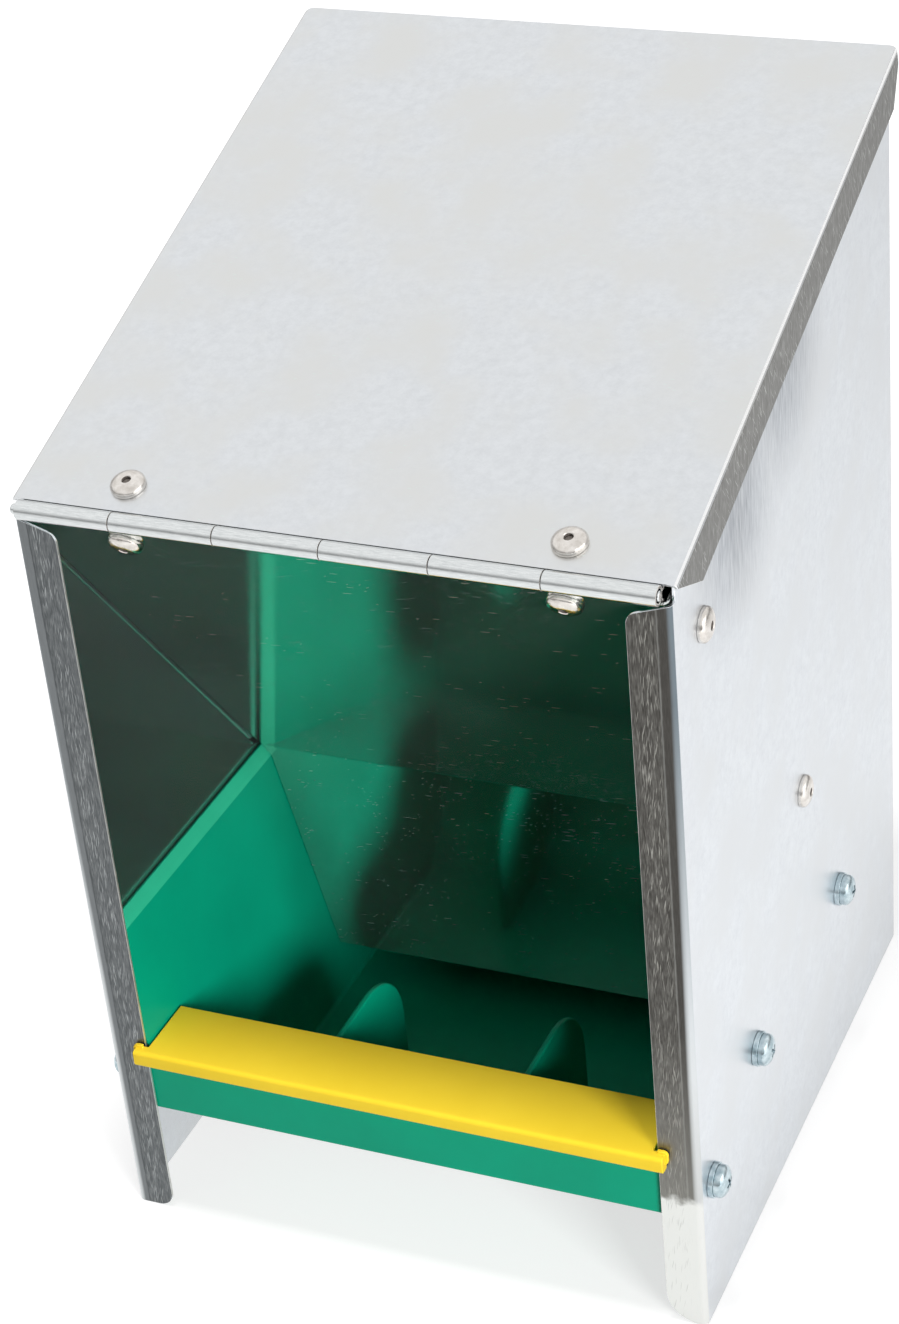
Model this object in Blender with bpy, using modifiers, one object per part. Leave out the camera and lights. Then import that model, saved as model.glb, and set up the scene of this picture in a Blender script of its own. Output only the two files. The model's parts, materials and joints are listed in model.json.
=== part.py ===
"""Galvanised trough feeder: folded body, hinged lid, riveted baffle and a moulded trough with a lip.

Metres, +Z up. The feeder stands on z = 0 and faces -Y, and its origin is under the middle of its bounding
box. Inside feeder_frame, y is measured backwards from the front face of the body's front flanges.
"""

import math

import bmesh
import bpy
from mathutils import Euler, Matrix, Vector

# Clearance between pieces that touch on the real feeder
FIT_GAP = 0.0003

# Body shell, folded from one sheet
SHEET = 0.0008
BODY_WIDTH = 0.1848
BODY_DEPTH = 0.197
BODY_BEND = 0.002
FLANGE_WIDTH = 0.0121
FLANGE_TOP_DROP = 0.0026
FLANGE_TOP_RADIUS = 0.0035
FOOT_RADIUS_LEFT = 0.005
FOOT_RADIUS_RIGHT = 0.010

# Hinge along the front edge of the lid
HINGE_HEIGHT = 0.2412
HINGE_END_GAP = 0.0027
KNUCKLE_COUNT = 6
KNUCKLE_WALL = 0.001
PIN_RADIUS = 0.00145
LEAF_SHEET = 0.0009
LEAF_WIDTH = 0.017

# Lid
LID_SLOPE = math.radians(18.2)
LID_LENGTH = 0.2105
LID_BEND = 0.0012
LID_FLANGE = 0.014
LID_FLANGE_FRONT_CUT = 0.0147
LID_FLANGE_BACK_CUT = 0.011

# Baffle
BAFFLE_FOLD_RISE = 0.0003
BAFFLE_BEND = 0.003
BAFFLE_FLANGE = 0.0156
BAFFLE_FLANGE_END = 0.004
LOWER_PANEL_DEPTH = 0.108
LOWER_PANEL_EDGE = 0.0255

# Blind rivets
RIVET_RADIUS = 0.0024
RIVET_HEAD_RADIUS = 0.0049
RIVET_HEAD_HEIGHT = 0.0021
RIVET_HEAD_RIM = 0.0005
RIVET_MANDREL_RADIUS = 0.00135
RIVET_MANDREL_DEPTH = 0.0011
RIVET_TAIL_RADIUS = 0.003
RIVET_TAIL_LENGTH = 0.0034
RIVET_TAIL_TAPER = 0.0006
HINGE_RIVET_SPREAD = 0.1247
LID_RIVET_SETBACK = 0.0122
BAFFLE_RIVET_SETBACK = 0.0105
SIDE_RIVET_TOP = 0.0297
SIDE_RIVET_BOTTOM = 0.0210
SIDE_RIVET_RISE = 0.006

# Trough
TROUGH_WALL = 0.002
TROUGH_CORNER = 0.002
TROUGH_RIM = 0.0995
TROUGH_FLOOR = 0.0087
CHEEK_DRAFT = math.radians(12.8)
LEDGE_WIDTH = 0.0031
LEDGE_DROP = 0.0035
RIM_FLAT = 0.0008
FRONT_WALL_FOOT = 0.0387
FLOOR_START = 0.038
FLOOR_LENGTH = 0.089
RAMP_TOP = 0.075

# Dividers moulded in the trough
DIVIDER_SPREAD = 0.0606
DIVIDER_SHEET = 0.002
DIVIDER_DEPTH = 0.0683
DIVIDER_DROP = 0.0036
DIVIDER_RADIUS = 0.0215

# Lip clipped on the trough's front wall
LIP_TOP = 0.063
LIP_PLATE = 0.002
LIP_REACH = 0.0203
LIP_BEAD_PROUD = 0.0038
LIP_BEAD_HEIGHT = 0.0055
LIP_BEAD_RADIUS = 0.0013
LIP_OVERLAP = 0.0029
LIP_LEG = 0.0016
LIP_LEG_DEPTH = 0.007
LIP_LUG_REACH = 0.0012
LIP_LUG_RISE = 0.0012
LIP_LUG_SHEET = 0.0013
LIP_LUG_STEP = 0.0001

# Trough screws and washers, placed from the front flanges and from the floor
SCREW_FRONT_DEPTH = 0.0099
SCREW_MIDDLE_DEPTH = 0.0515
SCREW_REAR_DEPTH = 0.1335
SCREW_FRONT_HEIGHT = 0.0472
SCREW_ROW_HEIGHT = 0.0621
SCREW_RADIUS = 0.0024
SCREW_HEAD_RADIUS = 0.0048
SCREW_HEAD_HEIGHT = 0.0036
SCREW_HEAD_RIM = 0.0015
SCREW_TIP = 0.002
RECESS_LENGTH = 0.0056
RECESS_WIDTH = 0.0012
RECESS_DEPTH = 0.0018
WASHER_RADIUS = 0.00525
WASHER_THICKNESS = 0.001
BOSS_RADIUS = 0.0055
BOSS_FLOOR = 0.0015

# How finely round shapes are faceted
ROUND_SIDES = 20
BEND_STEPS = 4

# Values that follow from the driving dimensions
HALF_WIDTH = BODY_WIDTH / 2
WALL_INSIDE = HALF_WIDTH - SHEET
KNUCKLE_BORE = PIN_RADIUS + FIT_GAP
KNUCKLE_RADIUS = KNUCKLE_BORE + KNUCKLE_WALL
SHEET_START = KNUCKLE_RADIUS + FIT_GAP
HINGE_LEFT = -HALF_WIDTH
HINGE_RIGHT = HALF_WIDTH - HINGE_END_GAP
LID_BACK = SHEET_START + LID_LENGTH
LID_TOP = FIT_GAP + SHEET
HOLE_RADIUS = RIVET_RADIUS + FIT_GAP
INSERT_HALF_WIDTH = WALL_INSIDE - FIT_GAP
HINGE_AXIS = Vector((0, 0, HINGE_HEIGHT))
FLANGE_TOP = HINGE_HEIGHT - FLANGE_TOP_DROP
DIVIDER_TOP = LIP_TOP - LIP_PLATE - DIVIDER_DROP
CUT_MARGIN = 0.01

# The baffle's middle plane passes the hinge axis at a small distance, and leans from there to its fold
BAFFLE_MIDDLE = -FIT_GAP - SHEET / 2
FOLD_POINT = Vector((LOWER_PANEL_DEPTH + SHEET / 2, TROUGH_RIM + BAFFLE_FOLD_RISE - HINGE_HEIGHT))
BAFFLE_FOLD = math.sqrt(FOLD_POINT.length_squared - BAFFLE_MIDDLE**2)
BAFFLE_TURN = math.atan2(FOLD_POINT.y, FOLD_POINT.x) - math.atan2(BAFFLE_MIDDLE, BAFFLE_FOLD)
BAFFLE_FLANGE_TOP = BAFFLE_MIDDLE + BAFFLE_FLANGE

REAR_EDGE = LID_BACK * math.cos(LID_SLOPE) - FIT_GAP * math.sin(LID_SLOPE)
FRAME_SHIFT = -(REAR_EDGE - LIP_BEAD_PROUD) / 2


def clear_scene():
    for obj in list(bpy.data.objects):
        bpy.data.objects.remove(obj, do_unlink=True)


def new_collection(name):
    collection = bpy.data.collections.new(name)
    bpy.context.scene.collection.children.link(collection)
    return collection


clear_scene()
PARTS = new_collection("trough_feeder")
CUTTERS = new_collection("cutters")


def new_material(name, colour, roughness, metallic):
    material = bpy.data.materials.new(name)
    material.use_nodes = True
    shader = material.node_tree.nodes["Principled BSDF"]
    shader.inputs["Base Color"].default_value = (*colour, 1.0)
    shader.inputs["Roughness"].default_value = roughness
    shader.inputs["Metallic"].default_value = metallic
    return material


GALVANISED = new_material("galvanised_sheet", (0.66, 0.68, 0.69), 0.38, 1.0)
HINGE_STEEL = new_material("galvanised_hinge", (0.62, 0.64, 0.66), 0.28, 1.0)
ALUMINIUM = new_material("aluminium_rivet", (0.80, 0.80, 0.78), 0.25, 1.0)
ZINC = new_material("zinc_plated_steel", (0.58, 0.66, 0.70), 0.22, 1.0)
GREEN_PLASTIC = new_material("green_polypropylene", (0.005, 0.33, 0.19), 0.42, 0.0)
YELLOW_PLASTIC = new_material("yellow_polypropylene", (0.76, 0.54, 0.03), 0.40, 0.0)


def new_empty(name, location, turn, parent):
    empty = bpy.data.objects.new(name, None)
    empty.location = location
    empty.rotation_euler = Euler((turn, 0, 0))
    empty.parent = parent
    PARTS.objects.link(empty)
    return empty


# The lid's empty lies on the hinge axis, and the leaned baffle has its own on the same axis
FRAME = new_empty("feeder_frame", (0, FRAME_SHIFT, 0), 0, None)
LID_FRAME = new_empty("lid_hinge_axis", HINGE_AXIS, LID_SLOPE, FRAME)
BAFFLE_FRAME = new_empty("baffle_slope", HINGE_AXIS, BAFFLE_TURN, FRAME)


def add_object(name, mesh, parent, material):
    """A piece of the feeder, or a hidden cutter or join where there is no material."""
    obj = bpy.data.objects.new(name, mesh)
    obj.parent = parent
    if material:
        mesh.materials.append(material)
        PARTS.objects.link(obj)
    else:
        obj.display_type = "WIRE"
        obj.hide_render = True
        CUTTERS.objects.link(obj)
    return obj


# Turns an outline's plane, and the direction it is extruded in, to the axis named
EXTRUDE_AXES = {
    "X": Matrix(((0, 0, 1), (1, 0, 0), (0, 1, 0))).to_4x4(),
    "Y": Matrix(((1, 0, 0), (0, 0, -1), (0, 1, 0))).to_4x4(),
    "Z": Matrix.Identity(4),
}


def extruded(name, points, axis, low, high, parent, material=None, closed=True):
    """Extrudes an outline in (y, z) along X, in (x, z) along Y or in (x, y) along Z. Open, it is a sheet."""
    curve = bpy.data.curves.new(name, "CURVE")
    curve.dimensions = "2D"
    curve.fill_mode = "BOTH" if closed else "NONE"
    curve.extrude = (high - low) / 2
    spline = curve.splines.new("POLY")
    spline.points.add(len(points) - 1)
    for point, (u, v) in zip(spline.points, points):
        point.co = (u, v, 0, 1)
    spline.use_cyclic_u = closed
    source = bpy.data.objects.new(name + "_outline", curve)
    CUTTERS.objects.link(source)
    bpy.context.view_layer.update()
    mesh = bpy.data.meshes.new_from_object(source.evaluated_get(bpy.context.evaluated_depsgraph_get()))
    bpy.data.objects.remove(source, do_unlink=True)
    bm = bmesh.new()
    bm.from_mesh(mesh)
    bmesh.ops.remove_doubles(bm, verts=bm.verts, dist=1e-6)
    bm.to_mesh(mesh)
    bm.free()
    middle = Vector((0, 0, 0))
    middle["XYZ".index(axis)] = (low + high) / 2
    mesh.transform(Matrix.Translation(middle) @ EXTRUDE_AXES[axis])
    return add_object(name, mesh, parent, material)


def box(name, low, high, parent, material=None):
    mesh = bpy.data.meshes.new(name)
    bm = bmesh.new()
    bmesh.ops.create_cube(bm, size=1)
    size = [b - a for a, b in zip(low, high)]
    centre = [(a + b) / 2 for a, b in zip(low, high)]
    bmesh.ops.scale(bm, verts=bm.verts, vec=size)
    bmesh.ops.translate(bm, verts=bm.verts, vec=centre)
    bm.to_mesh(mesh)
    bm.free()
    return add_object(name, mesh, parent, material)


def rod(name, centre, radius, low, high, axis, parent, material=None):
    """A cylinder along X or Z, from low to high on that axis and centred on the other two coordinates."""
    mesh = bpy.data.meshes.new(name)
    bm = bmesh.new()
    bmesh.ops.create_cone(
        bm, cap_ends=True, segments=ROUND_SIDES, radius1=radius, radius2=radius, depth=high - low
    )
    half_facet = Matrix.Rotation(math.pi / ROUND_SIDES, 4, "Z")
    turn = Matrix.Rotation(math.pi / 2, 4, "Y") if axis == "X" else Matrix.Identity(4)
    place = Vector(centre)
    place["XYZ".index(axis)] = (low + high) / 2
    bmesh.ops.transform(bm, verts=bm.verts, matrix=Matrix.Translation(place) @ turn @ half_facet)
    bm.to_mesh(mesh)
    bm.free()
    return add_object(name, mesh, parent, material)


def turned(name, profile, parent, material):
    """A turned piece: its profile in (radius, height) runs from the top, down the outside, to the bottom."""
    mesh = bpy.data.meshes.new(name)
    bm = bmesh.new()
    corners = [bm.verts.new((radius, 0, height)) for radius, height in profile]
    for a, b in zip(corners, corners[1:]):
        bm.edges.new((a, b))
    bm.to_mesh(mesh)
    bm.free()
    obj = add_object(name, mesh, parent, material)
    spin = obj.modifiers.new("turn", "SCREW")
    spin.steps = ROUND_SIDES
    spin.render_steps = ROUND_SIDES
    spin.use_merge_vertices = True
    spin.merge_threshold = 1e-5
    return obj


def solidify(obj, thickness):
    wall = obj.modifiers.new("sheet", "SOLIDIFY")
    wall.thickness = thickness
    wall.offset = 0
    wall.use_even_offset = True


def boolean(obj, other, operation):
    modifier = obj.modifiers.new(other.name, "BOOLEAN")
    modifier.object = other
    modifier.operation = operation
    modifier.solver = "EXACT"


def cut(obj, *cutters):
    for cutter in cutters:
        boolean(obj, cutter, "DIFFERENCE")


def join(obj, *others):
    for other in others:
        boolean(obj, other, "UNION")


def arc(centre, radius, start, end, steps):
    """Points on an arc, with its angles in degrees."""
    points = []
    for i in range(steps + 1):
        angle = math.radians(start + (end - start) * i / steps)
        points.append((centre[0] + radius * math.cos(angle), centre[1] + radius * math.sin(angle)))
    return points


def filleted(points, radius, steps=BEND_STEPS):
    """An open path with each of its inner corners rounded to the radius."""
    path = [points[0]]
    for before, corner, after in zip(points, points[1:], points[2:]):
        at = Vector(corner)
        back = (Vector(before) - at).normalized()
        on = (Vector(after) - at).normalized()
        half = back.angle(on) / 2
        setback = radius / math.tan(half)
        centre = at + (back + on).normalized() * (radius / math.sin(half))
        start = at + back * setback - centre
        sweep = start.angle_signed(at + on * setback - centre)
        for i in range(steps + 1):
            turn = -sweep * i / steps
            x = start.x * math.cos(turn) - start.y * math.sin(turn)
            y = start.x * math.sin(turn) + start.y * math.cos(turn)
            path.append((centre.x + x, centre.y + y))
    path.append(points[-1])
    return path


def offset_path(points, distance):
    """An open path moved to its left by the distance, with mitred corners."""
    sides = []
    for a, b in zip(points, points[1:]):
        along = (Vector(b) - Vector(a)).normalized()
        left = Vector((-along.y, along.x))
        sides.append((Vector(a) + left * distance, along, left))
    path = [tuple(sides[0][0])]
    for (start, along, _), (_, _, left), corner in zip(sides, sides[1:], points[1:]):
        reach = (Vector(corner) + left * distance - start).dot(left) / along.dot(left)
        path.append(tuple(start + along * reach))
    last = Vector(points[-1]) + sides[-1][2] * distance
    path.append(tuple(last))
    return path


def in_feeder(along, across, turn):
    """The (y, z) in the feeder's frame of a point beside the hinge axis, on a slope turned about it."""
    y = along * math.cos(turn) - across * math.sin(turn)
    z = along * math.sin(turn) + across * math.cos(turn)
    return HINGE_AXIS.y + y, HINGE_AXIS.z + z


# The side rivets go through the baffle's flanges, given along the slope and across it
SIDE_RIVET_SPOTS = {
    "upper": (SIDE_RIVET_TOP, BAFFLE_MIDDLE + SIDE_RIVET_RISE),
    "lower": (BAFFLE_FOLD - SIDE_RIVET_BOTTOM, BAFFLE_MIDDLE + SIDE_RIVET_RISE),
}
SCREW_SPOTS = {
    "front": (SCREW_FRONT_DEPTH, SCREW_FRONT_HEIGHT),
    "middle": (SCREW_MIDDLE_DEPTH, SCREW_ROW_HEIGHT),
    "rear": (SCREW_REAR_DEPTH, SCREW_ROW_HEIGHT),
}
SIDES = {"left": -1, "right": 1}


def cheek_inside(height):
    """Half the trough's inside width at a height below the rim's ledge."""
    ledge = INSERT_HALF_WIDTH - RIM_FLAT - LEDGE_WIDTH
    return ledge - (TROUGH_RIM - LEDGE_DROP - height) * math.tan(CHEEK_DRAFT)


def cheek_outside(height):
    return cheek_inside(height) + TROUGH_WALL / math.cos(CHEEK_DRAFT)


WASHER_SEAT = HALF_WIDTH + FIT_GAP
SCREW_SEAT = WASHER_SEAT + WASHER_THICKNESS + FIT_GAP
HIGHEST_SCREW = max(z for y, z in SCREW_SPOTS.values())
SCREW_LENGTH = SCREW_SEAT - cheek_outside(HIGHEST_SCREW) - BOSS_FLOOR
SCREW_END = SCREW_SEAT - SCREW_LENGTH
SCREW_HOLE_RADIUS = SCREW_RADIUS + FIT_GAP


def mirrored(outline, side):
    """The outline on the side asked for: it is drawn on the right, and turned over for the left."""
    return [(side * x, z) for x, z in outline]


def flange_corner_cutters(side_name, foot_radius):
    """What is trimmed off a front flange: its sloping top with a round corner, and its round foot corner."""
    side = SIDES[side_name]
    inner = HALF_WIDTH - FLANGE_WIDTH
    fall = math.tan(LID_SLOPE)
    round_x = inner + FLANGE_TOP_RADIUS
    line_z = FLANGE_TOP - (HALF_WIDTH - round_x) * fall
    round_z = line_z - FLANGE_TOP_RADIUS / math.cos(LID_SLOPE)
    top = [(inner - CUT_MARGIN, HINGE_HEIGHT + CUT_MARGIN), (inner - CUT_MARGIN, round_z)]
    top += arc((round_x, round_z), FLANGE_TOP_RADIUS, 180, 90 + math.degrees(LID_SLOPE), BEND_STEPS)
    top.append((HALF_WIDTH + CUT_MARGIN, FLANGE_TOP + CUT_MARGIN * fall))
    top.append((HALF_WIDTH + CUT_MARGIN, HINGE_HEIGHT + CUT_MARGIN))
    foot = [(inner - CUT_MARGIN, -CUT_MARGIN), (inner - CUT_MARGIN, foot_radius)]
    foot += arc((inner + foot_radius, foot_radius), foot_radius, 180, 270, BEND_STEPS)
    foot.append((inner + foot_radius, -CUT_MARGIN))
    name = "flange_" + side_name
    reach = BODY_BEND + SHEET / 2
    return [
        extruded(name + "_top_trim", mirrored(top, side), "Y", -CUT_MARGIN, reach, FRAME),
        extruded(name + "_foot_trim", mirrored(foot, side), "Y", -CUT_MARGIN, reach, FRAME),
    ]


def make_body_shell():
    middle = HALF_WIDTH - SHEET / 2
    front = SHEET / 2
    back = BODY_DEPTH - SHEET / 2
    inner = HALF_WIDTH - FLANGE_WIDTH
    left = [(-inner, front), (-middle, front), (-middle, back)]
    right = [(middle, back), (middle, front), (inner, front)]
    tallest = HINGE_HEIGHT + BODY_DEPTH * math.tan(LID_SLOPE)
    path = filleted(left + right, BODY_BEND - SHEET / 2)
    shell = extruded("body_shell", path, "Z", 0, tallest, FRAME, GALVANISED, closed=False)
    solidify(shell, SHEET)
    reach = HALF_WIDTH + CUT_MARGIN
    slope_trim = box(
        "slope_trim", (-reach, -CUT_MARGIN, 0), (reach, LID_BACK + CUT_MARGIN, tallest), LID_FRAME
    )
    barrel_notch = box(
        "barrel_notch",
        (-reach, -CUT_MARGIN, HINGE_HEIGHT - SHEET_START),
        (reach, SHEET_START + FIT_GAP, tallest),
        FRAME,
    )
    cut(shell, slope_trim, barrel_notch)
    cut(shell, *flange_corner_cutters("left", FOOT_RADIUS_LEFT))
    cut(shell, *flange_corner_cutters("right", FOOT_RADIUS_RIGHT))
    through = HALF_WIDTH + CUT_MARGIN
    for spot, (along, across) in SIDE_RIVET_SPOTS.items():
        y, z = in_feeder(along, across, BAFFLE_TURN)
        cut(shell, rod("rivet_hole_" + spot, (0, y, z), HOLE_RADIUS, -through, through, "X", FRAME))
    for spot, (y, z) in SCREW_SPOTS.items():
        cut(shell, rod("screw_hole_" + spot, (0, y, z), SCREW_HOLE_RADIUS, -through, through, "X", FRAME))
    return shell


def knuckle_span(index):
    """Where a knuckle starts and ends along X, counted from the left end of the hinge."""
    pitch = (HINGE_RIGHT - HINGE_LEFT) / KNUCKLE_COUNT
    start = HINGE_LEFT + index * pitch
    return start + FIT_GAP / 2, start + pitch - FIT_GAP / 2


def make_leaf(name, parent, own, leaf_low, leaf_high, left_end, rivet_setback):
    """One leaf of the hinge: a strip with every second knuckle, notched round the other leaf's knuckles."""
    knuckle_middle = (KNUCKLE_BORE + KNUCKLE_RADIUS) / 2
    leaf = box(
        name,
        (left_end, knuckle_middle, leaf_low),
        (HINGE_RIGHT - FIT_GAP / 2, LEAF_WIDTH, leaf_high),
        parent,
        HINGE_STEEL,
    )
    for index in range(KNUCKLE_COUNT):
        start, end = knuckle_span(index)
        label = f"{name}_{index}"
        if index % 2 == own:
            knuckle = rod(label + "_knuckle", (0, 0, 0), KNUCKLE_RADIUS, start, end, "X", parent)
            join(leaf, knuckle)
        else:
            start = start - FIT_GAP if index else start - CUT_MARGIN
            end = end + FIT_GAP if index < KNUCKLE_COUNT - 1 else end + CUT_MARGIN
            notch = box(
                label + "_notch",
                (start, -CUT_MARGIN, -CUT_MARGIN),
                (end, SHEET_START, CUT_MARGIN),
                parent,
            )
            cut(leaf, notch)
    ends = HALF_WIDTH + CUT_MARGIN
    cut(leaf, rod(name + "_bore", (0, 0, 0), KNUCKLE_BORE, -ends, ends, "X", parent))
    for side_name, side in SIDES.items():
        centre = (side * HINGE_RIVET_SPREAD / 2, rivet_setback, 0)
        cut(leaf, rod(f"{name}_hole_{side_name}", centre, HOLE_RADIUS, -CUT_MARGIN, CUT_MARGIN, "Z", parent))
    return leaf


def make_hinge():
    inside_flange = -INSERT_HALF_WIDTH + SHEET + FIT_GAP
    make_leaf("hinge_body_leaf", BAFFLE_FRAME, 0, 0, LEAF_SHEET, inside_flange, BAFFLE_RIVET_SETBACK)
    make_leaf("hinge_lid_leaf", LID_FRAME, 1, -LEAF_SHEET, 0, -INSERT_HALF_WIDTH, LID_RIVET_SETBACK)
    pin_ends = (HINGE_LEFT + FIT_GAP, HINGE_RIGHT + FIT_GAP)
    rod("hinge_pin", (0, 0, 0), PIN_RADIUS, *pin_ends, "X", BAFFLE_FRAME, HINGE_STEEL)


def make_lid():
    side = HALF_WIDTH + FIT_GAP + SHEET / 2
    middle = FIT_GAP + SHEET / 2
    hem = LID_TOP - LID_FLANGE
    section = [(-side, hem), (-side, middle), (side, middle), (side, hem)]
    path = filleted(section, LID_BEND - SHEET / 2)
    lid = extruded("lid", path, "Y", SHEET_START, LID_BACK, LID_FRAME, GALVANISED, closed=False)
    solidify(lid, SHEET)
    # Each side flange is cut back in a slant at both ends, below the fold
    fold = LID_TOP - LID_BEND
    below = hem - CUT_MARGIN
    slope_front = LID_FLANGE_FRONT_CUT / (fold - hem)
    slope_back = LID_FLANGE_BACK_CUT / (fold - hem)
    front = [
        (SHEET_START - CUT_MARGIN, fold),
        (SHEET_START, fold),
        (SHEET_START + slope_front * (fold - below), below),
        (SHEET_START - CUT_MARGIN, below),
    ]
    back = [
        (LID_BACK + CUT_MARGIN, fold),
        (LID_BACK, fold),
        (LID_BACK - slope_back * (fold - below), below),
        (LID_BACK + CUT_MARGIN, below),
    ]
    for side_name, sign in SIDES.items():
        reach = sorted((sign * HALF_WIDTH, sign * (HALF_WIDTH + CUT_MARGIN)))
        cut(lid, extruded(f"lid_front_slant_{side_name}", front, "X", *reach, LID_FRAME))
        cut(lid, extruded(f"lid_back_slant_{side_name}", back, "X", *reach, LID_FRAME))
        centre = (sign * HINGE_RIVET_SPREAD / 2, LID_RIVET_SETBACK, 0)
        cut(lid, rod(f"lid_hole_{side_name}", centre, HOLE_RADIUS, -CUT_MARGIN, CUT_MARGIN, "Z", LID_FRAME))
    return lid


def make_baffle():
    """The leaned sheet with its flanges along the side walls, folded down into a panel between the cheeks."""
    top = in_feeder(SHEET_START, BAFFLE_MIDDLE, BAFFLE_TURN)
    fold = in_feeder(BAFFLE_FOLD, BAFFLE_MIDDLE, BAFFLE_TURN)
    path = filleted([top, fold, (fold[0], LOWER_PANEL_EDGE)], BAFFLE_BEND + SHEET / 2)
    half = INSERT_HALF_WIDTH - SHEET / 2
    baffle = extruded("hopper_baffle", path, "X", -half, half, FRAME, GALVANISED, closed=False)
    solidify(baffle, SHEET)
    # The lower panel keeps clear of the trough's cheeks, its ledge and its rim
    ledge_z = TROUGH_RIM - LEDGE_DROP
    low = LOWER_PANEL_EDGE - CUT_MARGIN
    outside = INSERT_HALF_WIDTH + CUT_MARGIN
    side_trim = [
        (cheek_inside(low) - FIT_GAP, low),
        (cheek_inside(ledge_z) - FIT_GAP, ledge_z + FIT_GAP),
        (INSERT_HALF_WIDTH - RIM_FLAT - FIT_GAP, TROUGH_RIM + FIT_GAP),
        (outside, TROUGH_RIM + FIT_GAP),
        (outside, low),
    ]
    trim_front = LOWER_PANEL_DEPTH - CUT_MARGIN
    trim_back = LOWER_PANEL_DEPTH + CUT_MARGIN
    # The flange's upper end is slanted, so that it stays under the lid's hinge leaf
    between = LID_SLOPE - BAFFLE_TURN
    under_leaf = LEAF_SHEET + 2 * FIT_GAP
    upper_end = (under_leaf + BAFFLE_FLANGE_TOP * math.cos(between)) / math.sin(between)
    flange = [
        (SHEET_START + FIT_GAP, BAFFLE_MIDDLE),
        (BAFFLE_FOLD - BAFFLE_FLANGE_END, BAFFLE_MIDDLE),
        (BAFFLE_FOLD - BAFFLE_FLANGE_END, BAFFLE_FLANGE_TOP),
        (upper_end, BAFFLE_FLANGE_TOP),
    ]
    for side_name, sign in SIDES.items():
        trim = mirrored(side_trim, sign)
        cut(baffle, extruded(f"panel_trim_{side_name}", trim, "Y", trim_front, trim_back, FRAME))
        reach = sorted((sign * (INSERT_HALF_WIDTH - SHEET), sign * INSERT_HALF_WIDTH))
        join(baffle, extruded(f"baffle_flange_{side_name}", flange, "X", *reach, BAFFLE_FRAME))
        centre = (sign * HINGE_RIVET_SPREAD / 2, BAFFLE_RIVET_SETBACK, 0)
        through = (-CUT_MARGIN, CUT_MARGIN)
        cut(baffle, rod(f"baffle_hole_{side_name}", centre, HOLE_RADIUS, *through, "Z", BAFFLE_FRAME))
    for spot, (along, across) in SIDE_RIVET_SPOTS.items():
        centre = (0, along, across)
        hole = rod("flange_hole_" + spot, centre, HOLE_RADIUS, -HALF_WIDTH, HALF_WIDTH, "X", BAFFLE_FRAME)
        cut(baffle, hole)
    return baffle


def rivet_profile(grip):
    """A set blind rivet: domed head over the origin, the mandrel hole in it, and the swollen tail below."""
    dome = []
    for i in range(BEND_STEPS + 1):
        share = i / BEND_STEPS
        radius = RIVET_MANDREL_RADIUS + (RIVET_HEAD_RADIUS - RIVET_MANDREL_RADIUS) * share
        rise = (RIVET_HEAD_HEIGHT - RIVET_HEAD_RIM) * math.sqrt(1 - share * share)
        dome.append((radius, RIVET_HEAD_RIM + rise))
    hole_floor = RIVET_HEAD_HEIGHT - RIVET_MANDREL_DEPTH
    tail_top = -grip - FIT_GAP
    tail_end = tail_top - RIVET_TAIL_LENGTH
    return [
        (0, hole_floor),
        (RIVET_MANDREL_RADIUS, hole_floor),
        *dome,
        (RIVET_HEAD_RADIUS, 0),
        (RIVET_RADIUS, 0),
        (RIVET_RADIUS, tail_top),
        (RIVET_TAIL_RADIUS, tail_top - RIVET_TAIL_TAPER),
        (RIVET_TAIL_RADIUS, tail_end + RIVET_TAIL_TAPER),
        (RIVET_RADIUS, tail_end),
        (0, tail_end),
    ]


def make_rivets():
    hinge_grip = SHEET + LEAF_SHEET + 2 * FIT_GAP
    side_grip = 2 * SHEET + 2 * FIT_GAP
    for side_name, sign in SIDES.items():
        x = sign * HINGE_RIVET_SPREAD / 2
        lid_rivet = turned("lid_rivet_" + side_name, rivet_profile(hinge_grip), LID_FRAME, ALUMINIUM)
        lid_rivet.location = (x, LID_RIVET_SETBACK, LID_TOP + FIT_GAP)
        hinge_rivet = turned("hinge_rivet_" + side_name, rivet_profile(hinge_grip), BAFFLE_FRAME, ALUMINIUM)
        hinge_rivet.location = (x, BAFFLE_RIVET_SETBACK, -2 * FIT_GAP - SHEET)
        hinge_rivet.rotation_euler = Euler((math.pi, 0, 0))
        for spot, (along, across) in SIDE_RIVET_SPOTS.items():
            name = f"side_rivet_{side_name}_{spot}"
            side_rivet = turned(name, rivet_profile(side_grip), FRAME, ALUMINIUM)
            y, z = in_feeder(along, across, BAFFLE_TURN)
            side_rivet.location = (sign * (HALF_WIDTH + FIT_GAP), y, z)
            side_rivet.rotation_euler = Euler((0, sign * math.pi / 2, 0))


TROUGH_FRONT = SHEET + FIT_GAP
TROUGH_BACK = BODY_DEPTH - SHEET - FIT_GAP
FRONT_WALL_TOP = LIP_TOP - LIP_PLATE - FIT_GAP
# The outside of the trough seen from the side, from the front of its rim, down, and up to the back of it
TROUGH_PROFILE = [
    (TROUGH_FRONT, TROUGH_RIM),
    (TROUGH_FRONT, FRONT_WALL_FOOT),
    (FLOOR_START, TROUGH_FLOOR),
    (FLOOR_START + FLOOR_LENGTH, TROUGH_FLOOR),
    (TROUGH_BACK, RAMP_TOP),
    (TROUGH_BACK, TROUGH_RIM),
]


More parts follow.
